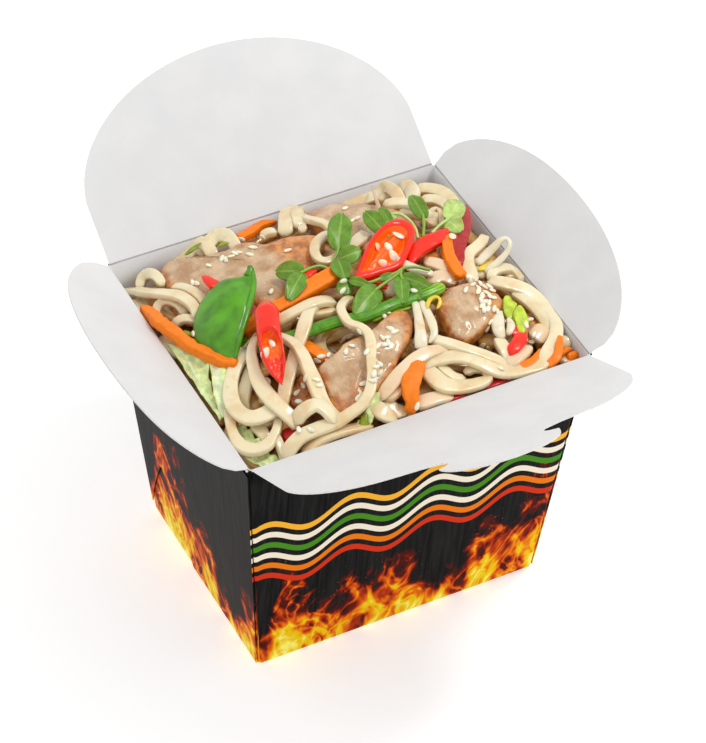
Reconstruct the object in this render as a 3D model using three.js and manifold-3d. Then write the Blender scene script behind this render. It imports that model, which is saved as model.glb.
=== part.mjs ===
// Noodle takeaway box: a folded paperboard carton with four open lid flaps, full of
// flat noodles, sliced pork, vegetables, young greens and sesame seeds.
// Millimetres, +Z up. The origin is the centre of the base's underside, and -Y is the
// front wall, whose flap carries the locking tongue.
import * as THREE from 'three';
import { mergeVertices } from 'three/addons/utils/BufferGeometryUtils.js';
import Module from 'manifold-3d';

const wasm = await Module();
wasm.setup();

// Carton sizes
const RIM_X = 116;
const RIM_Y = 103;
const BASE_X = 99;
const BASE_Y = 79;
const HEIGHT = 100;
const BOARD = 0.5;
const CORNER_RADIUS = 1.6;
const GAP = 0.35;

// Flap sizes: tilt is the angle above level, outwards, at which each flap stands open
const FLAPS = {
  flap_front: { heading: 180, tilt: 27 },
  flap_back: { heading: 0, tilt: 36 },
  flap_right: { heading: -90, tilt: 35 },
  flap_left: { heading: 90, tilt: 28 },
};
const HINGE_RISE = 0.3;
const HINGE_OUT = 0.15;
const HINGE_START = 0.4;
const LONG_FLAP_HALF = 57.2;
const SIDE_FLAP_HALF = 50.5;

// Folded outer layer on each side wall
const LAYER = 0.45;
const LAYER_TOP = HEIGHT - 3;

// Food sizes
const NOODLE_WIDTH = 4.8;
const NOODLE_THICK = 2.8;
const CORE_SINK = 4.5;
const HEAP_CROWN = 105.5;
const HEAP_ROOM_TOP = 125;

const rad = THREE.MathUtils.degToRad;

function seeded(seed) {
  let state = seed;
  return () => {
    state = (state * 1664525 + 1013904223) % 4294967296;
    return state / 4294967296;
  };
}

function halfX(z) {
  return BASE_X / 2 + ((RIM_X - BASE_X) / 2) * (z / HEIGHT);
}

function halfY(z) {
  return BASE_Y / 2 + ((RIM_Y - BASE_Y) / 2) * (z / HEIGHT);
}

// Height of the food's surface, without what lies on it
function heapTop(x, y) {
  const sideFall = 8 * Math.abs(x / 56) ** 3;
  const endFall = (y < 0 ? 6.5 : 9) * Math.abs(y / 49) ** 3;
  return HEAP_CROWN - sideFall - endFall;
}

function toSolid(geometry) {
  const bare = geometry.clone();
  bare.deleteAttribute('normal');
  bare.deleteAttribute('uv');
  const merged = mergeVertices(bare, 1e-4);
  return new wasm.Manifold(new wasm.Mesh({
    numProp: 3,
    vertProperties: new Float32Array(merged.attributes.position.array),
    triVerts: new Uint32Array(merged.index.array),
  }));
}

function toGeometry(solid) {
  const { vertProperties, triVerts } = solid.getMesh();
  const geometry = new THREE.BufferGeometry();
  geometry.setAttribute('position', new THREE.BufferAttribute(new Float32Array(vertProperties), 3));
  geometry.setIndex(new THREE.BufferAttribute(new Uint32Array(triVerts), 1));
  geometry.computeVertexNormals();
  return geometry;
}

function largestBody(solid) {
  const bodies = solid.decompose();
  return bodies.reduce((best, body) => (body.volume() > best.volume() ? body : best));
}

// Moves every vertex of a geometry by a function of its place
function reshape(geometry, place) {
  const position = geometry.attributes.position;
  for (let i = 0; i < position.count; i += 1) {
    const moved = place(position.getX(i), position.getY(i), position.getZ(i));
    position.setXYZ(i, moved[0], moved[1], moved[2]);
  }
  return geometry;
}

// Tapered block with the carton's own corners, drawn in by inset on every side
function taperedBlock(inset, bottom, top, topInset = inset) {
  const w = RIM_X / 2;
  const d = RIM_Y / 2;
  const r = CORNER_RADIUS;
  const outline = new THREE.Shape();
  outline.moveTo(-w + r, -d);
  outline.lineTo(w - r, -d);
  outline.absarc(w - r, -d + r, r, -Math.PI / 2, 0);
  outline.absarc(w - r, d - r, r, 0, Math.PI / 2);
  outline.absarc(-w + r, d - r, r, Math.PI / 2, Math.PI);
  outline.absarc(-w + r, -d + r, r, Math.PI, 1.5 * Math.PI);
  const block = new THREE.ExtrudeGeometry(outline, {
    depth: top - bottom, bevelEnabled: false, curveSegments: 3,
  });
  return reshape(block, (x, y, z) => {
    const level = bottom + z;
    const drawn = inset + (topInset - inset) * (z / (top - bottom));
    return [x * ((halfX(level) - drawn) / w), y * ((halfY(level) - drawn) / d), level];
  });
}

// Outer board layer of a side wall: the folded corner webs leave a tapering V open,
// whose peak stands towards the back. Drawn on the wall as (y, z).
function sideLayer(side) {
  const bottomEdge = 1.2;
  const edge = 1.2;
  const peak = [14.2, 48.3];
  const flip = side > 0 ? 1 : -1;
  const outline = new THREE.Shape();
  outline.moveTo(flip * (-halfY(bottomEdge) + edge), bottomEdge);
  outline.lineTo(flip * 8, bottomEdge);
  outline.lineTo(flip * 8, 19);
  outline.quadraticCurveTo(flip * 10.4, 32, flip * peak[0], peak[1]);
  outline.quadraticCurveTo(flip * 31, 28, flip * (halfY(4) - edge), 4);
  outline.lineTo(flip * (halfY(LAYER_TOP) - edge), LAYER_TOP);
  outline.lineTo(flip * (-halfY(LAYER_TOP) + edge), LAYER_TOP);
  const bite = 0.2;
  const layer = new THREE.ExtrudeGeometry(outline, {
    depth: LAYER + bite, bevelEnabled: false, curveSegments: 5,
  });
  reshape(layer, (y, z, out) => [halfX(z) + out - bite, y, z]);
  return side > 0 ? layer : layer.rotateZ(Math.PI);
}

function cartonGeometry() {
  let carton = toSolid(taperedBlock(0, 0, HEIGHT));
  carton = carton.subtract(toSolid(taperedBlock(BOARD, BOARD, HEIGHT + 1)));
  for (const side of [-1, 1]) {
    carton = carton.add(toSolid(sideLayer(side)));
  }
  return toGeometry(carton);
}

// Flap outlines: u runs along the crease and v away from it
function frontFlapOutline() {
  const half = LONG_FLAP_HALF;
  const outline = new THREE.Shape();
  const tongueHalf = 18;
  const neckHalf = 15.5;
  outline.moveTo(-half, HINGE_START);
  outline.lineTo(half, HINGE_START);
  outline.lineTo(half, 27);
  outline.bezierCurveTo(55, 33, 48, 42, 30, 44.5);
  outline.lineTo(neckHalf, 48);
  outline.lineTo(neckHalf + 0.2, 49.8);
  outline.lineTo(tongueHalf + 1.6, 51.2);
  outline.bezierCurveTo(tongueHalf + 1, 57, 12, 61, 0, 62);
  outline.bezierCurveTo(-12, 61, -tongueHalf - 1, 57, -tongueHalf - 1.6, 51.2);
  outline.lineTo(-neckHalf - 0.2, 49.8);
  outline.lineTo(-neckHalf, 48);
  outline.lineTo(-30, 44.5);
  outline.bezierCurveTo(-48, 42, -55, 33, -half, 27);
  return outline;
}

function backFlapOutline() {
  const half = LONG_FLAP_HALF;
  const outline = new THREE.Shape();
  outline.moveTo(-half, HINGE_START);
  outline.lineTo(half, HINGE_START);
  outline.lineTo(half, 20);
  outline.bezierCurveTo(56, 36, 36, 57.5, 0, 57.8);
  outline.bezierCurveTo(-36, 57.5, -56, 36, -half, 20);
  const slitHalf = 14.5;
  const slit = new THREE.Path();
  slit.moveTo(-slitHalf, 52.8);
  slit.lineTo(-slitHalf, 52);
  slit.lineTo(slitHalf, 52);
  slit.lineTo(slitHalf, 52.8);
  outline.holes.push(slit);
  return outline;
}

function sideFlapOutline() {
  const half = SIDE_FLAP_HALF;
  const outline = new THREE.Shape();
  outline.moveTo(-half, HINGE_START);
  outline.lineTo(half, HINGE_START);
  outline.lineTo(half + 1.2, 5);
  outline.lineTo(half + 0.4, 9.5);
  outline.bezierCurveTo(half - 5, 20, half - 22, 29, 0, 29);
  outline.bezierCurveTo(-half + 22, 29, -half + 5, 20, -half - 0.4, 9.5);
  outline.lineTo(-half - 1.2, 5);
  return outline;
}

const FLAP_OUTLINES = {
  flap_front: frontFlapOutline,
  flap_back: backFlapOutline,
  flap_right: sideFlapOutline,
  flap_left: sideFlapOutline,
};

function flapGeometry(name) {
  return new THREE.ExtrudeGeometry(FLAP_OUTLINES[name](), {
    depth: BOARD, bevelEnabled: false, curveSegments: 6,
  });
}

// Flat strip along a smooth route. The section is taken across the route, thick upright.
function strip(route, width, thick, steps, grow = 0) {
  const points = route.map((p) => new THREE.Vector3(...p));
  const last = points.length - 1;
  const lead = points[0].clone().sub(points[1]).normalize().multiplyScalar(grow);
  const tail = points[last].clone().sub(points[last - 1]).normalize().multiplyScalar(grow);
  points[0].add(lead);
  points[last].add(tail);
  const t = thick / 2 + grow;
  const w = width / 2 + grow;
  const section = new THREE.Shape();
  section.moveTo(-t, -w);
  section.lineTo(t, -w);
  section.lineTo(t, w);
  section.lineTo(-t, w);
  return new THREE.ExtrudeGeometry(section, {
    extrudePath: new THREE.CatmullRomCurve3(points), steps, bevelEnabled: false,
  });
}

// Square-edged strip with one bow sideways and one arch upwards
function bowedStrip(length, width, thick, bow, arch, steps, grow) {
  const route = [
    [-length / 2, -bow / 2, -arch / 2], [0, bow / 2, arch / 2], [length / 2, -bow / 2, -arch / 2],
  ];
  return strip(route, width, thick, steps, grow);
}

// Rounded uneven lump: a slice or cube of pork, or a cut vegetable piece
function lump(length, width, thick, seed, grow) {
  const random = seeded(seed);
  const phases = [random() * 6, random() * 6, random() * 6];
  const geometry = new THREE.SphereGeometry(1, 12, 6);
  geometry.rotateX(Math.PI / 2);
  const square = (value, power) => Math.sign(value) * Math.abs(value) ** power;
  return reshape(geometry, (x, y, z) => {
    const around = Math.atan2(y, x);
    const wobble = 1 + 0.06 * Math.sin(3 * around + phases[0]) + 0.045 * Math.sin(5 * around + phases[1]);
    const ripple = 0.1 * Math.sin(2.4 * x + 3.1 * y + phases[2]) * (1 - z * z);
    return [
      square(x, 0.8) * (length / 2 + grow) * wobble,
      square(y, 0.8) * (width / 2 + grow) * wobble,
      (square(z, 0.6) + ripple) * (thick / 2 + grow),
    ];
  });
}

// Thin wavy sheet, both faces split alike. place(u, v) gives a point for u, v in 0 to 1.
function sheet(acrossU, acrossV, thick, place, grow = 0) {
  const plane = new THREE.PlaneGeometry(1, 1, acrossU, acrossV);
  const flat = plane.attributes.position;
  const count = flat.count;
  const half = thick / 2 + grow;
  const vertices = new Float32Array(count * 6);
  for (let i = 0; i < count; i += 1) {
    const u = flat.getX(i) + 0.5;
    const v = flat.getY(i) + 0.5;
    const here = new THREE.Vector3(...place(u, v));
    const alongU = new THREE.Vector3(...place(u + 0.01, v)).sub(here);
    const alongV = new THREE.Vector3(...place(u, v + 0.01)).sub(here);
    const out = alongU.cross(alongV).normalize().multiplyScalar(half);
    here.clone().add(out).toArray(vertices, i * 3);
    here.clone().sub(out).toArray(vertices, (count + i) * 3);
  }
  const faces = [];
  const front = Array.from(plane.index.array);
  for (let i = 0; i < front.length; i += 3) {
    faces.push(front[i], front[i + 1], front[i + 2]);
    faces.push(count + front[i], count + front[i + 2], count + front[i + 1]);
  }
  const wide = acrossU + 1;
  const rim = [];
  for (let i = 0; i < acrossU; i += 1) rim.push(i);
  for (let j = 0; j < acrossV; j += 1) rim.push(acrossU + j * wide);
  for (let i = acrossU; i > 0; i -= 1) rim.push(acrossV * wide + i);
  for (let j = acrossV; j > 0; j -= 1) rim.push(j * wide);
  rim.forEach((a, i) => {
    const b = rim[(i + 1) % rim.length];
    faces.push(a, b, count + a, b, count + b, count + a);
  });
  const geometry = new THREE.BufferGeometry();
  geometry.setAttribute('position', new THREE.BufferAttribute(vertices, 3));
  geometry.setIndex(faces);
  return geometry;
}

// Oval leaf blade from its stalk end, folded a little along the middle and curling down
function blade(length, width, curl, fold, grow) {
  return sheet(3, 2, 0.7, (u, v) => {
    const across = v * 2 - 1;
    const swell = 0.12 + 0.88 * Math.sin(Math.PI * Math.min(1, u) ** 0.85) ** 0.6;
    const half = (width / 2) * swell + grow;
    const along = length * u + grow * (u * 2 - 1);
    return [along, across * half, curl * Math.sin(Math.PI * u) + fold * swell * Math.abs(across)];
  }, grow);
}

// Half of a flat pod: straight seam on one side, round belly on the other
function halfPod(length, width, crown, grow) {
  return sheet(8, 4, 1.5, (u, v) => {
    const belly = Math.sin(Math.PI * (0.04 + 0.92 * u) ** 1.15) ** 0.7;
    const y = (width + 2 * grow) * belly * v - grow;
    const hump = crown * Math.sin(Math.PI * v * 0.62) * belly;
    return [(length + 2 * grow) * (u - 0.5), y, hump];
  }, grow);
}

// Cut chilli: a pointed round pod, opened along its upper side
function cutChilli(length, width, height, hollowFrom, hollowTo, grow) {
  const profile = [];
  const rings = 6;
  for (let i = 0; i <= rings; i += 1) {
    const t = i / rings;
    const radius = i === 0 || i === rings ? 0 : Math.sin(Math.PI * t) ** 0.45 * (0.75 + 0.25 * t);
    profile.push(new THREE.Vector2(radius * (width / 2 + grow), (t - 0.5) * (length + 2 * grow)));
  }
  const pod = new THREE.LatheGeometry(profile, 8);
  pod.rotateZ(-Math.PI / 2);
  pod.scale(1, 1, (height + 2 * grow) / (width + 2 * grow));
  if (grow > 0 || hollowTo <= hollowFrom) return pod;
  const hollow = new THREE.SphereGeometry(1, 8, 6);
  const hollowLength = (hollowTo - hollowFrom) * length;
  hollow.scale(hollowLength / 2, width * 0.36, height * 0.62);
  hollow.translate(((hollowTo + hollowFrom) / 2 - 0.5) * length, 0, height * 0.42);
  return toGeometry(toSolid(pod).subtract(toSolid(hollow)));
}

// Young green sprig: oval leaves on a thin stalk. Each leaf is
// [x, y, z, length, width, heading, tilt] and the stalk is a short route.
function sprig(leaves, stalk, grow) {
  let solid = toSolid(strip(stalk, 1.3, 1.3, 4, grow));
  for (const [x, y, z, length, width, heading, tilt] of leaves) {
    const leaf = blade(length, width, length * 0.12, width * 0.1, grow);
    leaf.rotateY(-rad(tilt));
    leaf.rotateZ(rad(heading));
    leaf.translate(x, y, z);
    solid = solid.add(toSolid(leaf));
  }
  return toGeometry(largestBody(solid));
}

// Wavy salad leaf
function saladLeaf(length, width, wave, grow) {
  return sheet(6, 3, 0.8, (u, v) => {
    const along = length * (u - 0.5) + grow * (u * 2 - 1);
    const half = width * (0.55 + 0.45 * Math.sin(Math.PI * (0.15 + 0.7 * u))) + grow * 2;
    return [along, half * (v - 0.5), wave * Math.sin(7 * u + 4 * v)];
  }, grow);
}

const COLOURS = {
  pork: 0xc9a27c,
  pea: 0x4f9a2c,
  chilli: 0xe0200f,
  pepper: 0x9c1a1a,
  carrot: 0xf57a1e,
  onion_green: 0x2f8428,
  lettuce: 0xbfcc78,
  spring_leaf: 0xa8c838,
  young_leaf: 0x5c9a3c,
  pale_leaf: 0xb4d77a,
  sprout: 0xeadfb4,
};

const pork = (length, width, thick, seed) => (grow) => lump(length, width, thick, seed, grow);
const slice = (length, width, thick, bow, arch) =>
  (grow) => bowedStrip(length, width, thick, bow, arch, 4, grow);
const chilli = (length, width, height, from, to) =>
  (grow) => cutChilli(length, width, height, from, to, grow);
const greens = (leaves, stalk) => (grow) => sprig(leaves, stalk, grow);

// Everything that lies on the noodles, lowest first. at is x, y and the height of the
// piece's middle above the food's surface; turn is yaw, pitch and roll in degrees.
const TOPPINGS = [
  ['pork_bit_left', 'pork', pork(14, 9, 6, 3), [-29.8, -29.2, -1.5], [61, 0, 0]],
  ['pork_bit_right', 'pork', pork(13.5, 7.5, 6, 4), [46.8, -31.4, -0.8], [49, 0, 0]],
  ['pork_bit_back', 'pork', pork(11.5, 6, 5, 5), [-45, 21.4, -1.6], [-82, 0, 0]],
  ['pepper_front_left', 'pepper', slice(9, 5.4, 2.6, 0, 0), [-38, -41, -0.5], [3, 0, 0]],
  ['pepper_front_middle', 'pepper', slice(8, 4, 2.4, 0, 0), [11.8, -48, 0.4], [-4, 0, 0]],
  ['pepper_front_right', 'pepper', slice(10, 3.6, 2.4, 0, 0), [26, -48.2, 1], [13, 0, 0]],
  ['lettuce_left', 'lettuce', (grow) => saladLeaf(36, 9, 1.4, grow), [-51.2, -6.5, 0], [98, 0, 28]],
  ['lettuce_corner', 'lettuce', (grow) => saladLeaf(19, 8, 1, grow), [-49.4, -38, 1], [100, 0, 10]],
  ['lettuce_front', 'lettuce', (grow) => saladLeaf(15, 4.5, 0.7, grow), [-16.2, -43.8, 1.4], [46, 0, 20]],
  ['carrot_back', 'carrot', slice(15, 5, 3, 0, 0), [-7.8, 47, 1], [8, 0, 30]],
  ['carrot_corner', 'carrot', slice(14, 3, 2.4, 1, 0), [39, -45.4, 2.4], [18, 0, 0]],
  ['carrot_right', 'carrot', slice(15, 3, 2.2, 1, 1), [47.6, -45, 3.4], [47, 0, 0]],
  ['carrot_end', 'carrot', (grow) => lump(6, 5, 5, 8, grow), [53.2, -45.6, 3.6], [0, 0, 0]],
  ['pepper_strip', 'pepper', slice(35, 4.4, 2, 2, 1), [46.6, 11, 3.2], [58, 7, 20]],
  ['chilli_strip', 'chilli', slice(12, 4.2, 2.2, 0, 0), [38.8, -39.4, 2.6], [37, 0, 0]],
  ['pork_back', 'pork', pork(31, 27, 7, 11), [21.5, 33, 1.4], [-14, 0, 12]],
  ['pork_long', 'pork', pork(52, 27, 7, 12), [-20.5, 27, 0.8], [-18, 0, 14]],
  ['pork_front', 'pork', pork(45, 20, 8, 13), [-7.4, -29.4, 1.6], [31, 0, 6]],
  ['pork_cube', 'pork', pork(25.5, 19, 11, 14), [31, -22.8, 2], [37, -4, 6]],
  ['spring_onion', 'onion_green', slice(67, 4.2, 3.2, 3, 2), [-7, -10.4, 3.2], [-3, 0, 0]],
  ['sprout_middle', 'sprout', slice(18, 3.6, 2, 1, 1), [11.6, -25.6, 4.2], [68, -12, 0]],
  ['carrot_long', 'carrot', slice(41, 5.6, 4, 1, 1), [-16.4, 3, 2.6], [11, -7, 0]],
  ['carrot_front', 'carrot', slice(20, 5.4, 2.8, 1, 1), [1.4, -43.2, 2], [51, -20, 0]],
  ['carrot_side', 'carrot', slice(21, 3.8, 2.6, 1, 0), [37.8, 0.8, 3.2], [75, 3, 0]],
  ['carrot_left', 'carrot', slice(45, 4, 2.8, 4, 1), [-50.4, 7, 3.4], [108, 6, 0]],
  ['chilli_bit_left', 'chilli', slice(7.5, 4, 1.6, 0, 0), [-36.8, 21.2, 5.8], [-77, 0, 0]],
  ['chilli_bit_middle', 'chilli', slice(6, 3, 1.6, 0, 0), [-8.1, 9, 4.8], [28, 0, 0]],
  ['chilli_bit_right', 'chilli', slice(6.4, 2.6, 1.4, 0, 0), [8.8, -3.9, 4.2], [-41, 0, 0]],
  ['onion_pale', 'sprout', slice(13, 3.4, 1.6, 1, 0), [23.8, -0.2, 3.6], [-55, 0, 0]],
  ['curl_right', 'sprout', slice(14, 3, 1.6, 2, 0), [48, -2.4, 6], [35, -38, 0]],
  ['curl_yellow', 'sprout', slice(8, 2, 1.4, 2, 0), [19.3, -20.8, 7], [-29, 0, 0]],
  ['onion_cut_upper', 'spring_leaf', slice(9.5, 4, 1.6, 0, 1), [43.5, -25, 3.6], [60, 0, 0]],
  ['onion_cut_lower', 'spring_leaf', slice(11.5, 3.6, 1.6, 0, 1), [44.2, -31.8, 4.4], [68, 0, 0]],
  ['chilli_wedge', 'chilli', chilli(21, 7, 5, 0, 0), [33, 7.8, 3.8], [25, 0, 0]],
  ['chilli_ring', 'chilli', chilli(33, 12, 8, 0.28, 0.92), [16.8, 8.8, 5.2], [35, -4, 14]],
  ['snow_pea', 'pea', (grow) => halfPod(36, 16.5, 3.4, grow), [-38.6, 4.4, 6], [55, -6, 168]],
  ['chilli_long', 'chilli', chilli(34, 8, 7, 0.08, 0.62), [-32.6, -15.4, 8.4], [73, 4, -10]],
  ['greens_centre', 'young_leaf', greens(
    [[1.1, 1.8, 0.3, 15, 8, 59, 9], [-0.7, -2, 0.4, 8, 6, 0, 6], [-1, -1.8, 0.4, 8.5, 6, -102, -5]],
    [[1.9, 2.8, 0.9], [0, 0.4, 0.2], [-3.5, -2.5, -2.2]],
  ), [2.6, 11.4, 7.6], [0, 0, 0]],
  ['greens_left', 'young_leaf', greens(
    [[0.4, 0.1, 0, 8.7, 6.6, 158, 3], [0.2, 0.2, 0, 13, 6.2, -137, -1]],
    [[8.3, -1.3, -1.2], [2.9, 0.4, 0], [-1.1, -0.2, 0]],
  ), [-10, 10, 6.6], [0, 0, 0]],
  ['greens_front', 'young_leaf', greens(
    [[1.6, 0.8, 0, 15.5, 7.8, -143, -1], [-6.4, 5.6, 0, 6.9, 3, -54, 3]],
    [[15, 0.8, -1.2], [10.8, 2.4, -0.3], [2.3, 1.2, 0.2], [-3.1, 1.6, 0.2], [-6.6, 6.2, -0.2]],
  ), [8, -5, 6.8], [0, 0, 0]],
  ['greens_right', 'young_leaf', greens(
    [[0, -0.4, 0, 10, 4.8, -55, -1], [0, -0.4, 0, 12, 5, -115, -1], [0, -1, 0, 9.5, 4.6, -84, -1]],
    [[0.4, 1, 0.3], [0.1, -0.4, 0.2], [-0.2, -2, 0]],
  ), [16, -6, 7.4], [0, 0, 0]],
  ['greens_back', 'young_leaf', greens(
    [[-0.4, -0.6, 0, 10.7, 5.8, 99, 6], [0.4, 0, 0, 10, 3.2, 75, 3]],
    [[0, -4.6, -2.4], [0, -1.7, -0.9], [-0.2, 1.1, 0]],
  ), [22, 16.5, 6.4], [0, 0, 0]],
  ['greens_behind', 'young_leaf', greens(
    [[-1.7, 3.6, 0.4, 4.4, 3, -156, 3]],
    [[0.1, -8, -1.4], [1.1, -4, -0.7], [0.8, -0.4, 0], [-0.7, 2.9, 0.5], [-3.6, 4, 0.6]],
  ), [30.6, 18.4, 8.2], [0, 0, 0]],
  ['greens_far', 'young_leaf', greens(
    [[0.8, 1.1, 0.1, 11.4, 5.2, 85, 3]],
    [[-3.6, -6.1, -0.6], [-1.1, -2, -0.2], [1, 2.6, 0.3]],
  ), [36.6, 17.4, 7.1], [0, 0, 0]],
  ['greens_pale', 'pale_leaf', greens(
    [[1.2, 0, 0, 12.2, 7, 46, -6], [1.1, 0.6, 0, 7, 6, -81, -2]],
    [[-6.8, -3.5, 0.2], [-2.2, -0.9, 0.2], [2.6, 1.4, -0.4]],
  ), [43, 15.6, 7], [0, 0, 0]],
];

// Seeds lie in loose patches: node, count, patch centre, patch reach, seed
const SEED_PATCHES = [
  ['pork_long', 12, [-16, 25], [18, 8], 21],
  ['pork_front', 12, [0, -24], [15, 9], 22],
  ['pork_cube', 12, [38, -21], [6, 9], 23],
  ['pork_back', 3, [24, 34], [8, 5], 24],
];
const SEED_LENGTH = 3.2;

function matrixAt(at, turn) {
  const [x, y, rise] = at;
  const [yaw, pitch, roll] = turn.map(rad);
  const holder = new THREE.Object3D();
  holder.position.set(x, y, heapTop(x, y) + rise);
  holder.rotation.set(roll, pitch, yaw, 'ZYX');
  holder.updateMatrix();
  return holder.matrix;
}

// Space that noodles and toppings may fill: inside the walls, and no wider above the rim
function foodRoom() {
  const drawn = BOARD + GAP;
  const widerAbove = ((RIM_X - BASE_X) / 2) * ((HEAP_ROOM_TOP - HEIGHT) / HEIGHT);
  return toSolid(taperedBlock(drawn, drawn, HEAP_ROOM_TOP, drawn + widerAbove));
}

function heapCore() {
  const floor = BOARD + GAP;
  const core = new THREE.BoxGeometry(2, 2, 1, 8, 7, 1);
  reshape(core, (x, y, z) => {
    const drawn = BOARD + GAP;
    const level = HEIGHT - 12;
    const top = heapTop(x * (halfX(level) - drawn), y * (halfY(level) - drawn)) - CORE_SINK
      + 0.8 * Math.sin(5.3 * x + 2) * Math.sin(4.7 * y);
    const height = z > 0 ? top : floor;
    return [x * (halfX(height) - drawn), y * (halfY(height) - drawn), height];
  });
  return toSolid(core).intersect(toSolid(taperedBlock(BOARD + GAP, 0, HEIGHT + 10)));
}

// Noodles that show, as arcs: x, y, radius along, radius across, turn, start, sweep, rise.
// Start and sweep are degrees round the arc, and rise is above the food's surface.
const NOODLE_ARCS = [
  [-52, 17, 12, 13, 0, -50, 150, -1],
  [-54, 15, 7, 8, 0, -40, 170, -2.5],
  [-46, 31, 12, 7, 10, -20, 170, -0.5],
  [-43, -21, 11, 13, 12, 60, 300, 0.5],
  [-31, -21, 8.5, 17, 0, 20, 150, 3],
  [-37, -20, 6, 17, 0, 150, 160, 2],
  [-49, -39, 7, 6, 0, -20, 320, 0],
  [-13, -44, 26, 5, 3, 185, 160, 0.5],
  [-30, -46, 18, 5, 0, 20, 150, -1],
  [-12, -10, 16, 12, 20, 60, 100, 0],
  [-12, 1, 15, 4, 5, 190, 150, 0],
  [8, -13, 9, 8, 60, 20, 130, 1],
  [28, -24, 26, 24, 0, -80, 120, -0.5],
  [18, -48, 26, 17, 0, 20, 110, 0.5],
  [14, -50, 17, 13, 0, 0, 160, 0],
  [12, -44, 9, 8, 0, 140, 250, -1],
  [-6, -47, 8, 7, 30, -80, 200, -1],
  [33, -44, 13, 9, 0, 190, 150, -1],
  [49, -4, 7, 16, 10, -70, 150, 0],
  [47, 4, 9, 6, 30, 40, 200, 0],
  [33, 24, 18, 20, 0, -20, 140, -1],
  [36, 20, 10, 14, 0, -30, 150, -2],
  [22, 44, 22, 5, -8, 10, 160, 0.5],
  [-28, 44, 7, 5, 0, -30, 230, 2],
  [-18, 45, 5, 5, 0, -40, 230, 2],
  [-1, 44, 5, 6, 30, 20, 230, 1],
  [8, 22, 7, 8, 0, 30, 220, 1],
  [30, -7, 15, 8, 0, 20, 150, -1],
  [22, 4, 14, 8, 0, 170, 170, -1],
  [-24, 12, 16, 9, 0, 150, 170, -1],
  [-43, -24, 15, 14, 9, 308, 152, -2.3],
  [-19, -23, 18, 11, 81, 197, 174, -3.0],
];
const ARC_STEPS = 6;
const ARC_KNOTS = 7;
const WALL_SPARE = 0.3;
const END_DIP = 3.5;
const NOODLE_SWAY = 0.7;

function clampInside(value, limit) {
  return Math.max(-limit, Math.min(limit, value));
}

function noodleRoute(arc) {
  const [x, y, along, across, turn, start, sweep, rise] = arc;
  const route = [];
  for (let i = 0; i <= ARC_KNOTS; i += 1) {
    const angle = rad(start + (sweep * i) / ARC_KNOTS);
    const ring = [Math.cos(angle) * along, Math.sin(angle) * across];
    const px = x + ring[0] * Math.cos(rad(turn)) - ring[1] * Math.sin(rad(turn));
    const py = y + ring[0] * Math.sin(rad(turn)) + ring[1] * Math.cos(rad(turn));
    const margin = NOODLE_WIDTH / 2 + BOARD + GAP + WALL_SPARE;
    const qx = clampInside(px, halfX(90) - margin);
    const qy = clampInside(py, halfY(90) - margin);
    const dip = i === 0 || i === ARC_KNOTS ? -END_DIP : 0;
    const sway = NOODLE_SWAY * Math.sin(0.31 * qx + 0.23 * qy + x);
    route.push([qx, qy, heapTop(qx, qy) + rise - NOODLE_THICK / 2 + dip + sway]);
  }
  return route;
}

function heapSolid(toppingRooms, room) {
  let heap = heapCore();
  for (const arc of NOODLE_ARCS) {
    const noodle = toSolid(strip(noodleRoute(arc), NOODLE_WIDTH, NOODLE_THICK, ARC_STEPS));
    heap = heap.add(noodle.intersect(room));
  }
  for (const grown of toppingRooms) {
    heap = heap.subtract(grown);
  }
  return largestBody(heap);
}

// Seeds stand half sunk in the upper face of the piece that carries them
function addSeeds(solid, patch) {
  const [, count, centre, reach, seed] = patch;
  const random = seeded(seed);
  const caster = new THREE.Raycaster();
  const carrier = new THREE.Mesh(toGeometry(solid), new THREE.MeshBasicMaterial());
  let joined = solid;
  for (let i = 0; i < count; i += 1) {
    const angle = random() * 2 * Math.PI;
    const far = Math.sqrt((i + 0.5) / count);
    const x = centre[0] + reach[0] * far * Math.cos(angle + i * 2.4);
    const y = centre[1] + reach[1] * far * Math.sin(angle + i * 2.4);
    caster.set(new THREE.Vector3(x, y, HEAP_ROOM_TOP + 10), new THREE.Vector3(0, 0, -1));
    const hit = caster.intersectObject(carrier)[0];
    if (!hit || hit.face.normal.z < 0.6) continue;
    const grain = new THREE.SphereGeometry(1, 5, 2);
    grain.scale(SEED_LENGTH / 2, SEED_LENGTH * 0.31, SEED_LENGTH * 0.2);
    grain.rotateZ(random() * Math.PI);
    grain.translate(x, y, hit.point.z + 0.15);
    joined = joined.add(toSolid(grain));
  }
  return joined;
}

const root = new THREE.Group();

function finish(colour, roughness) {
  return new THREE.MeshStandardMaterial({ color: colour, roughness, metalness: 0 });
}

function addCarton() {
  const carton = new THREE.Mesh(cartonGeometry(), finish(0x24211f, 0.6));
  carton.name = 'carton';
  root.add(carton);
}

function addFlaps() {
  for (const [name, { heading, tilt }] of Object.entries(FLAPS)) {
    const facing = new THREE.Group();
    facing.rotation.z = rad(heading);
    const reach = Math.abs(heading) === 90 ? RIM_X / 2 : RIM_Y / 2;
    const hinge = new THREE.Group();
    hinge.position.set(0, reach + HINGE_OUT, HEIGHT + HINGE_RISE);
    hinge.rotation.x = rad(tilt);
    const flap = new THREE.Mesh(flapGeometry(name), finish(0xe9e9ea, 0.55));
    flap.name = name;
    hinge.add(flap);
    facing.add(hinge);
    root.add(facing);
  }
}

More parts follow.
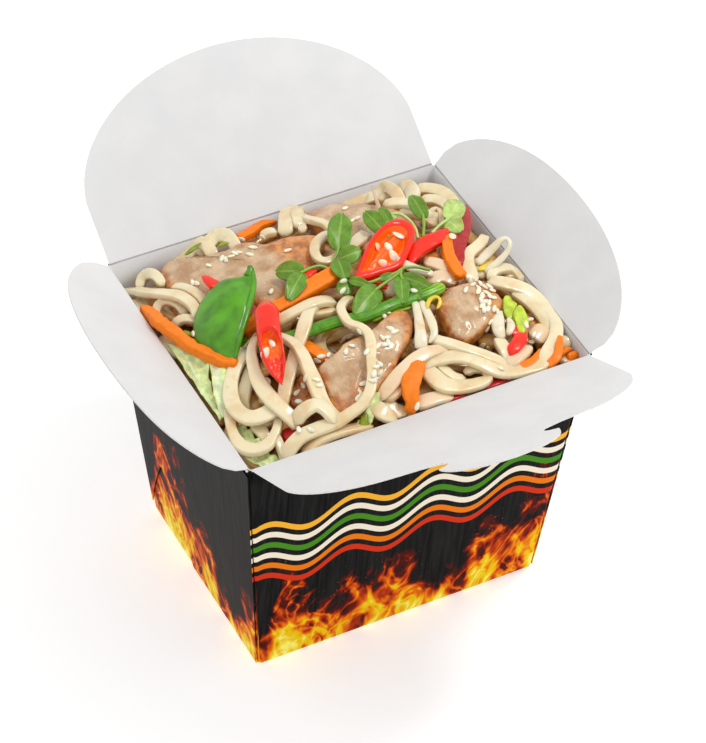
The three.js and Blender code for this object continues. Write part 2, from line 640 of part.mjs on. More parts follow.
function addFood() {
  const room = foodRoom();
  const pieces = TOPPINGS.map(([name, colour, make, at, turn]) => {
    const matrix = matrixAt(at, turn);
    const solid = toSolid(make(0).applyMatrix4(matrix));
    const grownGeometry = make(GAP).applyMatrix4(matrix);
    grownGeometry.computeBoundingBox();
    return { name, colour, matrix, solid, grown: toSolid(grownGeometry), box: grownGeometry.boundingBox };
  });
  pieces.forEach((piece, i) => {
    const above = pieces.slice(i + 1).filter((other) => piece.box.intersectsBox(other.box));
    let solid = piece.solid.intersect(room);
    for (const other of above) solid = solid.subtract(other.grown);
    solid = largestBody(solid);
    const patch = SEED_PATCHES.find(([node]) => node === piece.name);
    if (patch) {
      solid = addSeeds(solid, patch);
      for (const other of above) solid = solid.subtract(other.grown);
      solid = largestBody(solid);
    }
    const geometry = toGeometry(solid).applyMatrix4(piece.matrix.clone().invert());
    const mesh = new THREE.Mesh(geometry, finish(COLOURS[piece.colour], 0.5));
    mesh.name = piece.name;
    piece.matrix.decompose(mesh.position, mesh.quaternion, mesh.scale);
    root.add(mesh);
  });
  const noodles = new THREE.Mesh(
    toGeometry(heapSolid(pieces.map((piece) => piece.grown), room)), finish(0xeadbb0, 0.45),
  );
  noodles.name = 'noodles';
  root.add(noodles);
}

addCarton();
addFlaps();
addFood();

export default root;
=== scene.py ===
"""Noodle takeaway box: printed paperboard carton with four open lid flaps, heaped with
flat noodles, sliced pork, vegetables, young greens and sesame seeds.

Shapes are worked out in millimetres and scaled to metres when a piece is finished.
"""
import math
import random

import bmesh
import bpy
from mathutils import Matrix, Vector, noise
from mathutils.bvhtree import BVHTree


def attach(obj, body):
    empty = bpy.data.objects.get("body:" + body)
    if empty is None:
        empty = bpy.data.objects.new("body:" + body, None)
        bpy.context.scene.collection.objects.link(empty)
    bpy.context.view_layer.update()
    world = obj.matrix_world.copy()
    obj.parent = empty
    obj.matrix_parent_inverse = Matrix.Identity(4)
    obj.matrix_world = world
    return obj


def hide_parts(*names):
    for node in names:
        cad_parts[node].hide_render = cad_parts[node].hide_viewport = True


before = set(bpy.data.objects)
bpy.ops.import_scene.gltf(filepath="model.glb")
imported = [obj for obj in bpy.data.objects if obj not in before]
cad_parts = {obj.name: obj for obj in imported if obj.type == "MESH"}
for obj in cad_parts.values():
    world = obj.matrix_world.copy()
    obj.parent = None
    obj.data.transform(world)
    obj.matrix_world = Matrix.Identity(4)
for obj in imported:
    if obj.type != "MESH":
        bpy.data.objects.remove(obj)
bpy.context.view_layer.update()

MM = 0.001

# Camera, fitted to the carton's corners in the photograph
VIEW_AZIMUTH = math.radians(27.72)
VIEW_ELEVATION = math.radians(42.685)
VIEW_ROLL = math.radians(1.191)
VIEW_DISTANCE = 1137.7
VIEW_TARGET = Vector((14.53, 22.20, 50))
FOCAL_PIXELS = 3500
PHOTO_LONG_SIDE = 743
PHOTO_MIDDLE = (353, 371.5)
SENSOR = 36

# Carton sizes, as in the solid
RIM_X = 116
RIM_Y = 103
BASE_X = 99
BASE_Y = 79
HEIGHT = 100
BOARD = 0.5
CORNER_RADIUS = 1.6
HINGE_RISE = 0.3
HINGE_OUT = 0.15
CREASE_RADIUS = 0.4
CREASE_OUT = 0.24
FLAP_TILT = {"flap_front": 27, "flap_back": 36, "flap_right": 35, "flap_left": 28}
FLAP_HEADING = {"flap_front": 180, "flap_back": 0, "flap_right": -90, "flap_left": 90}
# Inward lean of the front and back flaps at their inner limits, as a slope
FLAP_LEAN = 0.47

# Food surface
HEAP_CROWN = 105.5


def view_axes():
    """Right, up and forward of the camera."""
    forward = Vector((
        math.sin(VIEW_AZIMUTH) * math.cos(VIEW_ELEVATION),
        math.cos(VIEW_AZIMUTH) * math.cos(VIEW_ELEVATION),
        -math.sin(VIEW_ELEVATION),
    ))
    level_right = Vector((math.cos(VIEW_AZIMUTH), -math.sin(VIEW_AZIMUTH), 0))
    level_up = level_right.cross(forward)
    right = level_right * math.cos(VIEW_ROLL) + level_up * math.sin(VIEW_ROLL)
    return right, right.cross(forward), forward


VIEW_RIGHT, VIEW_UP, VIEW_FORWARD = view_axes()
EYE = VIEW_TARGET - VIEW_FORWARD * VIEW_DISTANCE


def add_camera():
    data = bpy.data.cameras.new("camera")
    data.sensor_width = SENSOR
    data.lens = FOCAL_PIXELS * SENSOR / PHOTO_LONG_SIDE
    data.clip_start = 0.01
    data.clip_end = 20
    camera = bpy.data.objects.new("camera", data)
    turn = Matrix((VIEW_RIGHT, VIEW_UP, -VIEW_FORWARD)).transposed().to_4x4()
    camera.matrix_world = Matrix.Translation(EYE * MM) @ turn
    bpy.context.scene.collection.objects.link(camera)
    bpy.context.scene.camera = camera


# Finishes


class Finish:
    """A procedural material being put together around one principled shader."""

    def __init__(self, name, **settings):
        self.material = bpy.data.materials.new(name)
        self.material.use_nodes = True
        self.tree = self.material.node_tree
        self.shader = self.tree.nodes["Principled BSDF"]
        for key, value in settings.items():
            self.shader.inputs[key.replace("_", " ")].default_value = value
        self.place = self.tree.nodes.new("ShaderNodeTexCoord").outputs["Object"]

    def put(self, value, socket):
        """Links a socket, or sets a plain value."""
        if isinstance(value, bpy.types.NodeSocket):
            self.tree.links.new(value, socket)
        else:
            socket.default_value = value

    def noise(self, size_mm, detail=3.0, stretch=None, distortion=0.0, at=None):
        """Noise whose features are about size_mm wide."""
        node = self.tree.nodes.new("ShaderNodeTexNoise")
        node.inputs["Scale"].default_value = 1 / (size_mm * MM)
        node.inputs["Detail"].default_value = detail
        node.inputs["Distortion"].default_value = distortion
        self.put(self.stretched(stretch, at), node.inputs["Vector"])
        return node.outputs["Fac"]

    def stretched(self, stretch=None, at=None):
        place = self.place if at is None else at
        if stretch is None:
            return place
        node = self.tree.nodes.new("ShaderNodeMapping")
        node.inputs["Scale"].default_value = stretch
        self.tree.links.new(place, node.inputs["Vector"])
        return node.outputs["Vector"]

    def attribute(self, name):
        node = self.tree.nodes.new("ShaderNodeAttribute")
        node.attribute_name = name
        return node.outputs["Fac"]

    def axis(self, which, at=None):
        node = self.tree.nodes.new("ShaderNodeSeparateXYZ")
        self.tree.links.new(self.place if at is None else at, node.inputs[0])
        return node.outputs[which]

    def math(self, kind, a, b=0.0, c=0.0, clamp=False):
        node = self.tree.nodes.new("ShaderNodeMath")
        node.operation = kind
        node.use_clamp = clamp
        for socket, value in zip(node.inputs, (a, b, c)):
            self.put(value, socket)
        return node.outputs[0]

    def span(self, value, low, high, to_low=0.0, to_high=1.0):
        """Value from low to high becomes to_low to to_high, smoothly, and stays within them."""
        node = self.tree.nodes.new("ShaderNodeMapRange")
        node.interpolation_type = "SMOOTHSTEP"
        for socket, item in zip(node.inputs, (value, low, high, to_low, to_high)):
            self.put(item, socket)
        return node.outputs[0]

    def mix(self, share, first, second):
        node = self.tree.nodes.new("ShaderNodeMix")
        node.data_type = "RGBA"
        self.put(share, node.inputs["Factor"])
        self.put(first, node.inputs["A"])
        self.put(second, node.inputs["B"])
        return node.outputs["Result"]

    def colour(self, value):
        self.put(value, self.shader.inputs["Base Color"])

    def rough(self, value):
        self.put(value, self.shader.inputs["Roughness"])

    def bump(self, height, depth_mm, strength=1.0):
        node = self.tree.nodes.new("ShaderNodeBump")
        node.inputs["Strength"].default_value = strength
        node.inputs["Distance"].default_value = depth_mm * MM
        self.put(height, node.inputs["Height"])
        self.tree.links.new(node.outputs["Normal"], self.shader.inputs["Normal"])


def rgb(red, green, blue):
    """Colour from screen values of 0 to 255."""
    def linear(value):
        share = value / 255
        return share / 12.92 if share <= 0.04045 else ((share + 0.055) / 1.055) ** 2.4
    return (linear(red), linear(green), linear(blue), 1)


def white_board():
    finish = Finish("white_board", Roughness=0.5, Specular_IOR_Level=0.35)
    mottle = finish.noise(14, 4)
    fibre = finish.noise(0.5, 3)
    finish.colour(finish.mix(finish.span(mottle, 0.3, 0.7), rgb(218, 218, 219), rgb(223, 223, 223)))
    finish.bump(finish.math("ADD", fibre, finish.math("MULTIPLY", mottle, 1.5)), 0.06, 0.35)
    return finish.material


def folded_rim():
    finish = Finish("folded_rim", Roughness=0.7, Specular_IOR_Level=0.2)
    # Rim tops are a slightly darker grey than the board: painted shade that tones down their brightness where
    # they face up.
    finish.colour(rgb(214, 214, 215))
    return finish.material


def board_edge():
    finish = Finish("board_edge", Roughness=0.8)
    speck = finish.noise(0.4, 2)
    finish.colour(finish.mix(finish.span(speck, 0.35, 0.7), rgb(214, 212, 208), rgb(236, 234, 230)))
    finish.bump(speck, 0.05)
    return finish.material


FLAME_LEAST = 12.0
FLAME_REACH = 34.0
PLANK_WIDTH = 13
WAVE_LENGTH = 29
WAVE_SWING = 3.5
STRIPE_HALF = 1.3
# Height and colour of each stripe on the front wall
WAVY_STRIPES = (
    (43, (206, 50, 20)), (48, (232, 120, 16)), (53, (240, 228, 206)), (58, (70, 136, 30)),
    (63, (240, 228, 206)), (68, (244, 176, 50)),
)


def printed_board():
    """Dark printed outside: plank grain, a band of flames low down, and wavy stripes on the
    front wall."""
    finish = Finish("printed_board", Roughness=0.4, Specular_IOR_Level=0.02)
    x = finish.math("MULTIPLY", finish.axis("X"), 1000)
    y = finish.math("MULTIPLY", finish.axis("Y"), 1000)
    z = finish.math("MULTIPLY", finish.axis("Z"), 1000)
    facing = finish.tree.nodes.new("ShaderNodeNewGeometry").outputs["Normal"]
    on_side = finish.span(finish.math("ABSOLUTE", finish.axis("X", facing)), 0.6, 0.8)
    on_front = finish.math("LESS_THAN", finish.axis("Y", facing), -0.6)
    # Distance along the wall, whichever wall it is
    along = finish.math(
        "ADD",
        finish.math("MULTIPLY", x, finish.math("SUBTRACT", 1.0, on_side)),
        finish.math("MULTIPLY", finish.math("ADD", y, 37.0), on_side),
    )
    flat = finish.tree.nodes.new("ShaderNodeCombineXYZ")
    finish.put(finish.math("MULTIPLY", along, MM), flat.inputs["X"])
    finish.put(finish.math("MULTIPLY", z, MM), flat.inputs["Y"])
    wall = flat.outputs[0]

    # Planks with upright grain and dark gaps
    plank = finish.math("FRACT", finish.math("DIVIDE", finish.math("ADD", along, 200.0), PLANK_WIDTH))
    beside = finish.math("ABSOLUTE", finish.math("SUBTRACT", plank, 0.5))
    gap = finish.math("SUBTRACT", 1.0, finish.span(beside, 0.46, 0.5))
    grain = finish.noise(1.2, 5, (1, 0.06, 1), 0.6, wall)
    wear = finish.noise(12, 4, (1, 0.2, 1), 0, wall)
    timber = finish.mix(finish.span(grain, 0.35, 0.75), rgb(14, 14, 15), rgb(33, 33, 32))
    timber = finish.mix(finish.math("MULTIPLY", finish.span(wear, 0.5, 0.75), 0.3), timber, rgb(46, 45, 44))
    timber = finish.mix(finish.math("MULTIPLY", gap, 1.0), rgb(6, 6, 6), timber)

    # Flames: curling strands of fire that reach up from the foot, with dark gaps between them
    crest = finish.noise(34, 1, (1, 0.01, 1), 0, wall)
    top = finish.math("MULTIPLY_ADD", finish.span(crest, 0.38, 0.64), FLAME_REACH, FLAME_LEAST)
    low = finish.math("SUBTRACT", 1.0, finish.math("DIVIDE", z, top))

    def strands(size_mm, bend, width):
        field = finish.noise(size_mm, 2, (1, 0.6, 1), bend, wall)
        off = finish.math("ABSOLUTE", finish.math("SUBTRACT", field, 0.5))
        return finish.math("SUBTRACT", 1.0, finish.math("DIVIDE", off, width), clamp=True)

    broad = strands(24, 1.1, 0.16)
    fine = strands(11, 1.8, 0.1)
    cloud = finish.noise(9, 3, (1, 0.6, 1), 1.6, wall)
    heat = finish.math("ADD", finish.math("MULTIPLY", broad, 0.85), finish.math("MULTIPLY", fine, 0.45))
    heat = finish.math("ADD", heat, finish.math("MULTIPLY", finish.math("SUBTRACT", cloud, 0.5), 1.8))
    heat = finish.math("ADD", heat, finish.math("MULTIPLY", low, 1.1))
    ceiling = finish.math("MULTIPLY", finish.math("ADD", low, 0.35), 2.6)
    heat = finish.math("MINIMUM", finish.math("SUBTRACT", heat, 0.55), ceiling)
    fire = finish.mix(finish.span(heat, -0.1, 0.35), timber, rgb(88, 18, 8))
    fire = finish.mix(finish.span(heat, 0.25, 0.6), fire, rgb(190, 56, 8))
    fire = finish.mix(finish.span(heat, 0.5, 0.85), fire, rgb(232, 118, 6))
    fire = finish.mix(finish.span(heat, 0.78, 1.15), fire, rgb(236, 196, 6))
    fire = finish.mix(finish.span(heat, 1.2, 1.7), fire, rgb(252, 240, 110))
    spark = finish.tree.nodes.new("ShaderNodeTexVoronoi")
    spark.inputs["Scale"].default_value = 520
    finish.tree.links.new(wall, spark.inputs["Vector"])
    dot = finish.math("LESS_THAN", spark.outputs["Distance"], 0.13)
    near_fire = finish.math("MULTIPLY", finish.span(low, -0.7, 0.1), finish.span(cloud, 0.4, 0.6))
    glow = finish.math("MULTIPLY", finish.math("MULTIPLY", dot, near_fire), 0.7)
    fire = finish.mix(glow, fire, rgb(230, 110, 20))

    # Wavy stripes across the front wall, above the flames
    cover = fire
    wave = finish.math("SINE", finish.math("MULTIPLY", x, 2 * math.pi / WAVE_LENGTH))
    for level, tint in WAVY_STRIPES:
        middle = finish.math("MULTIPLY_ADD", wave, WAVE_SWING, level)
        off = finish.math("ABSOLUTE", finish.math("SUBTRACT", z, middle))
        on_stripe = finish.math("LESS_THAN", off, STRIPE_HALF)
        cover = finish.mix(finish.math("MULTIPLY", on_stripe, on_front), cover, rgb(*tint))
    finish.colour(cover)
    finish.bump(finish.noise(0.5, 3), 0.03, 0.5)
    return finish.material


def noodle_finish(name="noodle", light=(242, 230, 192), deep=(212, 160, 84), gloss=0.26):
    finish = Finish(
        name, Roughness=gloss, Subsurface_Weight=0.2, Subsurface_Scale=0.003,
        Coat_Weight=0.8, Coat_Roughness=0.05, IOR=1.4,
    )
    finish.shader.inputs["Subsurface Radius"].default_value = (1.0, 0.8, 0.5)
    tone = finish.attribute("tone")
    sauce = finish.noise(9, 3)
    # tone holds each strand's own tone plus painted shade that deepens lower in the heap; the sauce noise
    # adds random darker patches.
    share = finish.math("ADD", tone, finish.span(sauce, 0.42, 0.75, 0, 0.45))
    body = finish.mix(finish.math("MINIMUM", share, 1.0), rgb(*light), rgb(*deep))
    body = finish.mix(finish.math("MULTIPLY", finish.attribute("rosy"), 0.5), body, rgb(238, 200, 166))
    stain = finish.span(finish.noise(5, 3, None, 0.6), 0.56, 0.74, 0, 0.5)
    finish.colour(finish.mix(stain, body, rgb(230, 176, 104)))
    round_side = finish.math("MULTIPLY", finish.attribute("across"), 0.15)
    streak = finish.math("ADD", finish.noise(1.1, 2), round_side)
    finish.bump(streak, 0.12, 0.35)
    return finish.material


def core_finish():
    finish = Finish("noodle_core", Roughness=0.5, Subsurface_Weight=0.2, Subsurface_Scale=0.004)
    finish.shader.inputs["Subsurface Radius"].default_value = (1.0, 0.5, 0.2)
    patch = finish.noise(5, 3, None, 0.8)
    # The core's dark brown is partly sauce and partly painted shade, standing in for the shaded depths seen
    # through gaps in the noodles.
    finish.colour(finish.mix(finish.span(patch, 0.35, 0.65), rgb(140, 84, 32), rgb(206, 152, 84)))
    finish.bump(patch, 0.8)
    return finish.material


def pork_finish():
    """Pale cooked meat with fibres, browned where the edge attribute is high."""
    finish = Finish(
        "pork", Roughness=0.34, Subsurface_Weight=0.18, Subsurface_Scale=0.004,
        Coat_Weight=0.7, Coat_Roughness=0.14,
    )
    finish.shader.inputs["Subsurface Radius"].default_value = (1.0, 0.5, 0.3)
    fibre = finish.noise(0.8, 4, (1, 0.45, 1), 1.2)
    cloud = finish.noise(6, 4)
    meat = finish.mix(finish.span(cloud, 0.36, 0.64), rgb(218, 186, 146), rgb(186, 142, 94))
    meat = finish.mix(finish.span(fibre, 0.54, 0.74, 0, 0.4), meat, rgb(240, 224, 202))
    brown = finish.mix(finish.span(finish.noise(3, 3), 0.35, 0.65), rgb(228, 152, 70), rgb(176, 98, 34))
    patchy = finish.math("MULTIPLY", finish.math("SUBTRACT", cloud, 0.5), 0.9)
    share = finish.math("ADD", finish.attribute("edge"), patchy)
    finish.colour(finish.mix(finish.span(share, 0.1, 0.75), meat, brown))
    finish.rough(finish.span(fibre, 0.3, 0.7, 0.28, 0.5))
    finish.bump(finish.math("ADD", fibre, finish.math("MULTIPLY", cloud, 0.8)), 0.6, 0.7)
    return finish.material


def two_tone(name, outside, inside, mark, size_mm, gloss=0.3, depth=0.12, soft=0.15, mottle=0.1,
             wet=0.25):
    """Plant flesh: an outer and an inner colour told apart by an attribute, with faint mottling."""
    finish = Finish(
        name, Roughness=gloss, Subsurface_Weight=soft, Subsurface_Scale=0.003,
        Coat_Weight=wet, Coat_Roughness=0.12, Specular_IOR_Level=0.3,
    )
    finish.shader.inputs["Subsurface Radius"].default_value = (1.0, 0.6, 0.3)
    cloud = finish.noise(size_mm, 3)
    pale = [min(255, c * (1 + mottle)) for c in outside]
    dark = [c * (1 - mottle) for c in outside]
    skin = finish.mix(finish.span(cloud, 0.3, 0.7), rgb(*dark), rgb(*pale))
    inner_pale = [min(255, c * (1 + mottle)) for c in inside]
    flesh = finish.mix(finish.span(cloud, 0.35, 0.65), rgb(*inside), rgb(*inner_pale))
    finish.colour(finish.mix(finish.span(finish.attribute(mark), 0.3, 0.7), skin, flesh))
    finish.bump(finish.math("ADD", cloud, finish.noise(size_mm * 0.2, 3)), depth, 0.5)
    return finish.material


def leaf_finish(name, outside, vein, gloss=0.4):
    """Thin leaf: veins run out from the middle, told by the leaf's own along and across values."""
    finish = Finish(
        name, Roughness=gloss, Subsurface_Weight=0.25, Subsurface_Scale=0.002,
        Coat_Weight=0.15, Coat_Roughness=0.2,
    )
    along = finish.attribute("along")
    across = finish.attribute("across")
    side = finish.math("ABSOLUTE", across)
    slant = finish.math("SUBTRACT", along, finish.math("MULTIPLY", side, 0.35))
    ribs = finish.math("SINE", finish.math("MULTIPLY", slant, 42.0))
    rib = finish.span(ribs, 0.75, 1.0)
    middle = finish.math("SUBTRACT", 1.0, finish.span(side, 0.03, 0.14))
    line = finish.math("MAXIMUM", middle, finish.math("MULTIPLY", rib, 0.3))
    cloud = finish.noise(2.5, 3)
    dark = [c * 0.84 for c in outside]
    body = finish.mix(finish.span(cloud, 0.3, 0.7), rgb(*dark), rgb(*outside))
    finish.colour(finish.mix(finish.math("MULTIPLY", line, 0.4), body, rgb(*vein)))
    finish.bump(finish.math("SUBTRACT", cloud, finish.math("MULTIPLY", line, 0.8)), 0.15, 0.5)
    return finish.material


def make_finishes():
    return {
        "white": white_board(),
        "edge": board_edge(),
        "rim": folded_rim(),
        "print": printed_board(),
        "noodle": noodle_finish(),
        "core": core_finish(),
        "pork": pork_finish(),
        "pea": two_tone("pea_pod", (80, 146, 20), (36, 104, 20), "inside", 7, 0.28, 0.1, 0.05, 0.16),
        "chilli": two_tone("chilli", (255, 42, 18), (255, 104, 10), "inside", 2, 0.2, 0.1, 0.05, 0.04),
        "pepper": two_tone("dark_pepper", (176, 26, 24), (200, 60, 50), "inside", 2, 0.3, 0.12, 0.05),
        "carrot": two_tone(
            "carrot", (255, 128, 0), (255, 160, 60), "inside", 1.6, 0.45, 0.14, 0.1, 0.05, 0.06),
        "stalk": two_tone("stalk", (80, 144, 6), (150, 200, 40), "inside", 2.2, 0.3, 0.1, 0.05),
        "sprout": noodle_finish("sprout", (240, 232, 206), (226, 204, 150), 0.25),
        "yellow": noodle_finish("yellow_peel", (246, 214, 60), (232, 176, 20), 0.3),
        "cut_onion": two_tone("cut_onion", (192, 214, 62), (214, 226, 110), "inside", 3, 0.3, 0.1, 0.1),
        "lettuce": leaf_finish("lettuce", (230, 242, 162), (255, 255, 244), 0.42),
        "young_leaf": leaf_finish("young_leaf", (100, 156, 10), (176, 210, 86)),
        "pale_leaf": leaf_finish("pale_leaf", (190, 222, 116), (216, 234, 160)),
        "olive": two_tone("olive_leaf", (134, 150, 24), (170, 180, 60), "inside", 2, 0.35, 0.1, 0.05),
        "tan": noodle_finish("tan_tail", (214, 176, 132), (186, 138, 92), 0.4),
        "sesame": two_tone("sesame", (252, 243, 222), (246, 230, 190), "inside", 2, 0.4, 0.05),
    }


# Shapes


def catmull(points, t):
    """Point at t from 0 to 1 on a smooth curve through the points."""
    last = len(points) - 1
    place = min(max(t, 0.0), 1.0) * last
    index = min(int(place), last - 1)
    f = place - index
    p1, p2 = points[index], points[index + 1]
    p0 = points[index - 1] if index > 0 else p1 * 2 - p2
    p3 = points[index + 2] if index + 2 <= last else p2 * 2 - p1
    return 0.5 * ((p1 * 2) + (p2 - p0) * f + (p0 * 2 - p1 * 5 + p2 * 4 - p3) * f * f
                  + (p1 * 3 - p0 - p2 * 3 + p3) * f * f * f)


def closed_catmull(points, t):
    count = len(points)
    place = (t % 1.0) * count
    index = int(place) % count
    f = place - int(place)
    p0, p1, p2, p3 = (points[(index + k) % count] for k in (-1, 0, 1, 2))
    return 0.5 * ((p1 * 2) + (p2 - p0) * f + (p0 * 2 - p1 * 5 + p2 * 4 - p3) * f * f
                  + (p1 * 3 - p0 - p2 * 3 + p3) * f * f * f)


def even_route(points, count):
    """Points at equal distances along the curve."""
    fine = [catmull(points, i / (count * 6)) for i in range(count * 6 + 1)]
    run = [0.0]
    for a, b in zip(fine, fine[1:]):
        run.append(run[-1] + (b - a).length)
    route = []
    index = 0
    for i in range(count + 1):
        goal = run[-1] * i / count
        while index < len(run) - 2 and run[index + 1] < goal:
            index += 1
        step = run[index + 1] - run[index]
        f = (goal - run[index]) / step if step else 0
        route.append(fine[index].lerp(fine[index + 1], f))
    return route, run[-1]


def route_frames(route, up=Vector((0, 0, 1))):
    """Direction, sideways and upward vectors at each point, turning as little as they can."""
    frames = []
    side = None
    for i, point in enumerate(route):
        ahead = (route[min(i + 1, len(route) - 1)] - route[max(i - 1, 0)]).normalized()
        if side is None:
            side = ahead.cross(up)
            if side.length < 0.05:
                side = ahead.cross(Vector((1, 0, 0)))
        side = (side - ahead * side.dot(ahead)).normalized()
        level = ahead.cross(up)
        if level.length > 0.3:
            side = side.lerp(level.normalized(), 0.25).normalized()
        frames.append((point, ahead, side, side.cross(ahead).normalized()))
    return frames


def layers(bm, *names):
    return [bm.verts.layers.float.get(name) or bm.verts.layers.float.new(name) for name in names]


def new_verts(bm, first):
    bm.verts.ensure_lookup_table()
    return [bm.verts[i] for i in range(first, len(bm.verts))]


def sweep(bm, points, section, rings, sides=10, marks=None):
    """Closed tube along a route. section(t, angle, mm) gives sideways and upward offsets in mm,
    and marks(t, angle, place) gives values for the piece's attributes."""
    route, length = even_route(points, rings)
    frames = route_frames(route)
    first = len(bm.verts)
    made = bmesh.ops.create_cone(
        bm, cap_ends=True, cap_tris=False, segments=sides, radius1=1, radius2=1, depth=1)
    edges = {e for v in made["verts"] for e in v.link_edges}
    upright = [e for e in edges if abs(e.verts[0].co.z - e.verts[1].co.z) > 0.5]
    bmesh.ops.subdivide_edges(bm, edges=upright, cuts=rings - 1)
    for vert in new_verts(bm, first):
        t = vert.co.z + 0.5
        angle = math.atan2(vert.co.y, vert.co.x)
        point, _, side, up = frames[round(t * rings)]
        out, rise = section(t, angle, length)
        vert.co = point + side * out + up * rise
        if marks:
            for layer, value in marks(t, angle, vert.co).items():
                vert[layer] = value
    return length


def power(value, exponent):
    return math.copysign(abs(value) ** exponent, value)


def flat_section(width, thick, square=0.75, twist=0.0, phase=0.0, end=1.2):
    """Flattened section with softened corners, rounded off at both ends."""
    def section(t, angle, length):
        reach = min(t, 1 - t) * length
        close = min(1.0, 0.45 + 0.55 * math.sqrt(max(0.0, min(1.0, reach / end))))
        wide = power(math.cos(angle), square) * width / 2 * close
        tall = power(math.sin(angle), square) * thick / 2 * close
        turn = phase + twist * t
        return (wide * math.cos(turn) - tall * math.sin(turn),
                wide * math.sin(turn) + tall * math.cos(turn))
    return section


def heap_top(x, y):
    """Height of the food's surface, as in the solid."""
    side_fall = 8 * abs(x / 56) ** 3
    end_fall = (6.5 if y < 0 else 9) * abs(y / 49) ** 3
    return HEAP_CROWN - side_fall - end_fall


def sight(column, row):
    """Direction from the camera through a picture point."""
    right = (column - PHOTO_MIDDLE[0]) / FOCAL_PIXELS
    down = (row - PHOTO_MIDDLE[1]) / FOCAL_PIXELS
    return (VIEW_FORWARD + VIEW_RIGHT * right - VIEW_UP * down).normalized()


def on_heap(column, row, rise):
    """Point seen at a picture point, rise above the food's surface."""
    ahead = sight(column, row)
    z = HEAP_CROWN + rise
    for _ in range(5):
        point = EYE + ahead * ((z - EYE.z) / ahead.z)
        z = heap_top(point.x, point.y) + rise
    return point


def half_x(z):
    return BASE_X / 2 + (RIM_X - BASE_X) / 2 * z / HEIGHT


def half_y(z):
    return BASE_Y / 2 + (RIM_Y - BASE_Y) / 2 * z / HEIGHT


def inside_walls(point, margin):
    """Keeps a point clear of the walls, and of the front and back flaps where they lean in."""
    level = min(point.z, HEIGHT)
    lean = FLAP_LEAN * max(0.0, point.z - HEIGHT)
    reach_x = half_x(level) - BOARD - margin
    reach_y = half_y(level) - BOARD - margin - lean
    return Vector((max(-reach_x, min(reach_x, point.x)), max(-reach_y, min(reach_y, point.y)), point.z))


def finish_piece(name, bm, materials, body, slot, replaces=(), smooth=True, recalc=True):
    """Scales a piece to metres, gives it its finishes and hangs it on its body."""
    if recalc:
        bmesh.ops.recalc_face_normals(bm, faces=bm.faces)
    bmesh.ops.scale(bm, vec=(MM, MM, MM), verts=bm.verts)
    for face in bm.faces:
        face.smooth = smooth
    mesh = bpy.data.meshes.new(name)
    bm.to_mesh(mesh)
    bm.free()
    for material in materials:
        mesh.materials.append(material)
    piece = bpy.data.objects.new(name, mesh)
    bpy.context.scene.collection.objects.link(piece)
    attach(piece, body)
    if replaces:
        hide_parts(*replaces)
    return piece


# Carton and flaps


def add_carton(finishes):
    """Folded board: four walls with slightly bowed panels and rounded folds, open above."""
    bm = bmesh.new()
    bmesh.ops.create_cube(bm, size=1)
    for vert in bm.verts:
        z = HEIGHT if vert.co.z > 0 else 0
        vert.co = Vector((
            math.copysign(half_x(z), vert.co.x), math.copysign(half_y(z), vert.co.y), z))
    lid = [f for f in bm.faces if f.normal.z > 0.9]
    bmesh.ops.delete(bm, geom=lid, context="FACES_ONLY")
    folds = [e for e in bm.edges if abs(e.verts[0].co.z - e.verts[1].co.z) > 1 or e.calc_face_angle(0) > 1]
    bmesh.ops.bevel(
        bm, geom=folds, offset=CORNER_RADIUS, segments=4, profile=0.5, affect="EDGES", material=-1)
    for axis, count in ((Vector((1, 0, 0)), 13), (Vector((0, 1, 0)), 11), (Vector((0, 0, 1)), 12)):
        reach = {0: half_x(HEIGHT), 1: half_y(HEIGHT), 2: HEIGHT}[max(range(3), key=lambda k: axis[k])]
        for i in range(1, count):
            place = (reach * 2 * i / count - reach) if axis.z == 0 else reach * i / count
            geom = bm.verts[:] + bm.edges[:] + bm.faces[:]
            bmesh.ops.bisect_plane(bm, geom=geom, plane_co=axis * place, plane_no=axis)
    for vert in bm.verts:
        z = vert.co.z
        across_x = vert.co.x / half_x(z)
        across_y = vert.co.y / half_y(z)
        belly = math.sin(math.pi * min(1, z / HEIGHT)) * 0.5
        if abs(across_y) > 0.96 and z > 3:
            vert.co.y += math.copysign(belly * max(0, 1 - across_x ** 2), across_y)
        if abs(across_x) > 0.96 and z > 3:
            vert.co.x += math.copysign(belly * max(0, 1 - across_y ** 2), across_x)
    bmesh.ops.recalc_face_normals(bm, faces=bm.faces)
    outside = bm.faces[:]
    if sum((f.normal.dot(f.calc_center_median() - Vector((0, 0, 50)))) * f.calc_area() for f in outside) < 0:
        bmesh.ops.reverse_faces(bm, faces=outside)
    bmesh.ops.solidify(bm, geom=bm.faces[:], thickness=BOARD)
    for face in bm.faces:
        middle = face.calc_center_median()
        inward = face.normal.dot(Vector((middle.x, middle.y, middle.z - 50)))
        face.material_index = 0
        if inward < 0:
            face.material_index = 1
        # Upward rim tops take the folded_rim finish, whose darker grey is painted shade.
        if face.normal.z > 0.9 and middle.z > HEIGHT - 1:
            face.material_index = 2
    walls = set(bm.faces)

    def crease(t, angle, mm):
        return math.cos(angle) * CREASE_RADIUS, math.sin(angle) * CREASE_RADIUS

    out_x = half_x(HEIGHT) + HINGE_OUT + CREASE_OUT
    out_y = half_y(HEIGHT) + HINGE_OUT + CREASE_OUT
    for side in (1, -1):
        for ends in (
            ((-out_x + 1, side * out_y), (out_x - 1, side * out_y)),
            ((side * out_x, -out_y + 1), (side * out_x, out_y - 1)),
        ):
            sweep(bm, [Vector((x, y, HEIGHT)) for x, y in ends], crease, 24, 12)
    bmesh.ops.recalc_face_normals(bm, faces=[f for f in bm.faces if f not in walls])
    for face in bm.faces:
        if face not in walls:
            middle = face.calc_center_median()
            outward = face.normal.dot(Vector((middle.x, middle.y, 0)).normalized())
            face.material_index = 0 if outward > 0.3 else 1
    finish_piece(
        "carton_box", bm, [finishes["print"], finishes["white"], finishes["rim"]],
        "root", "carton", ["carton"], recalc=False)


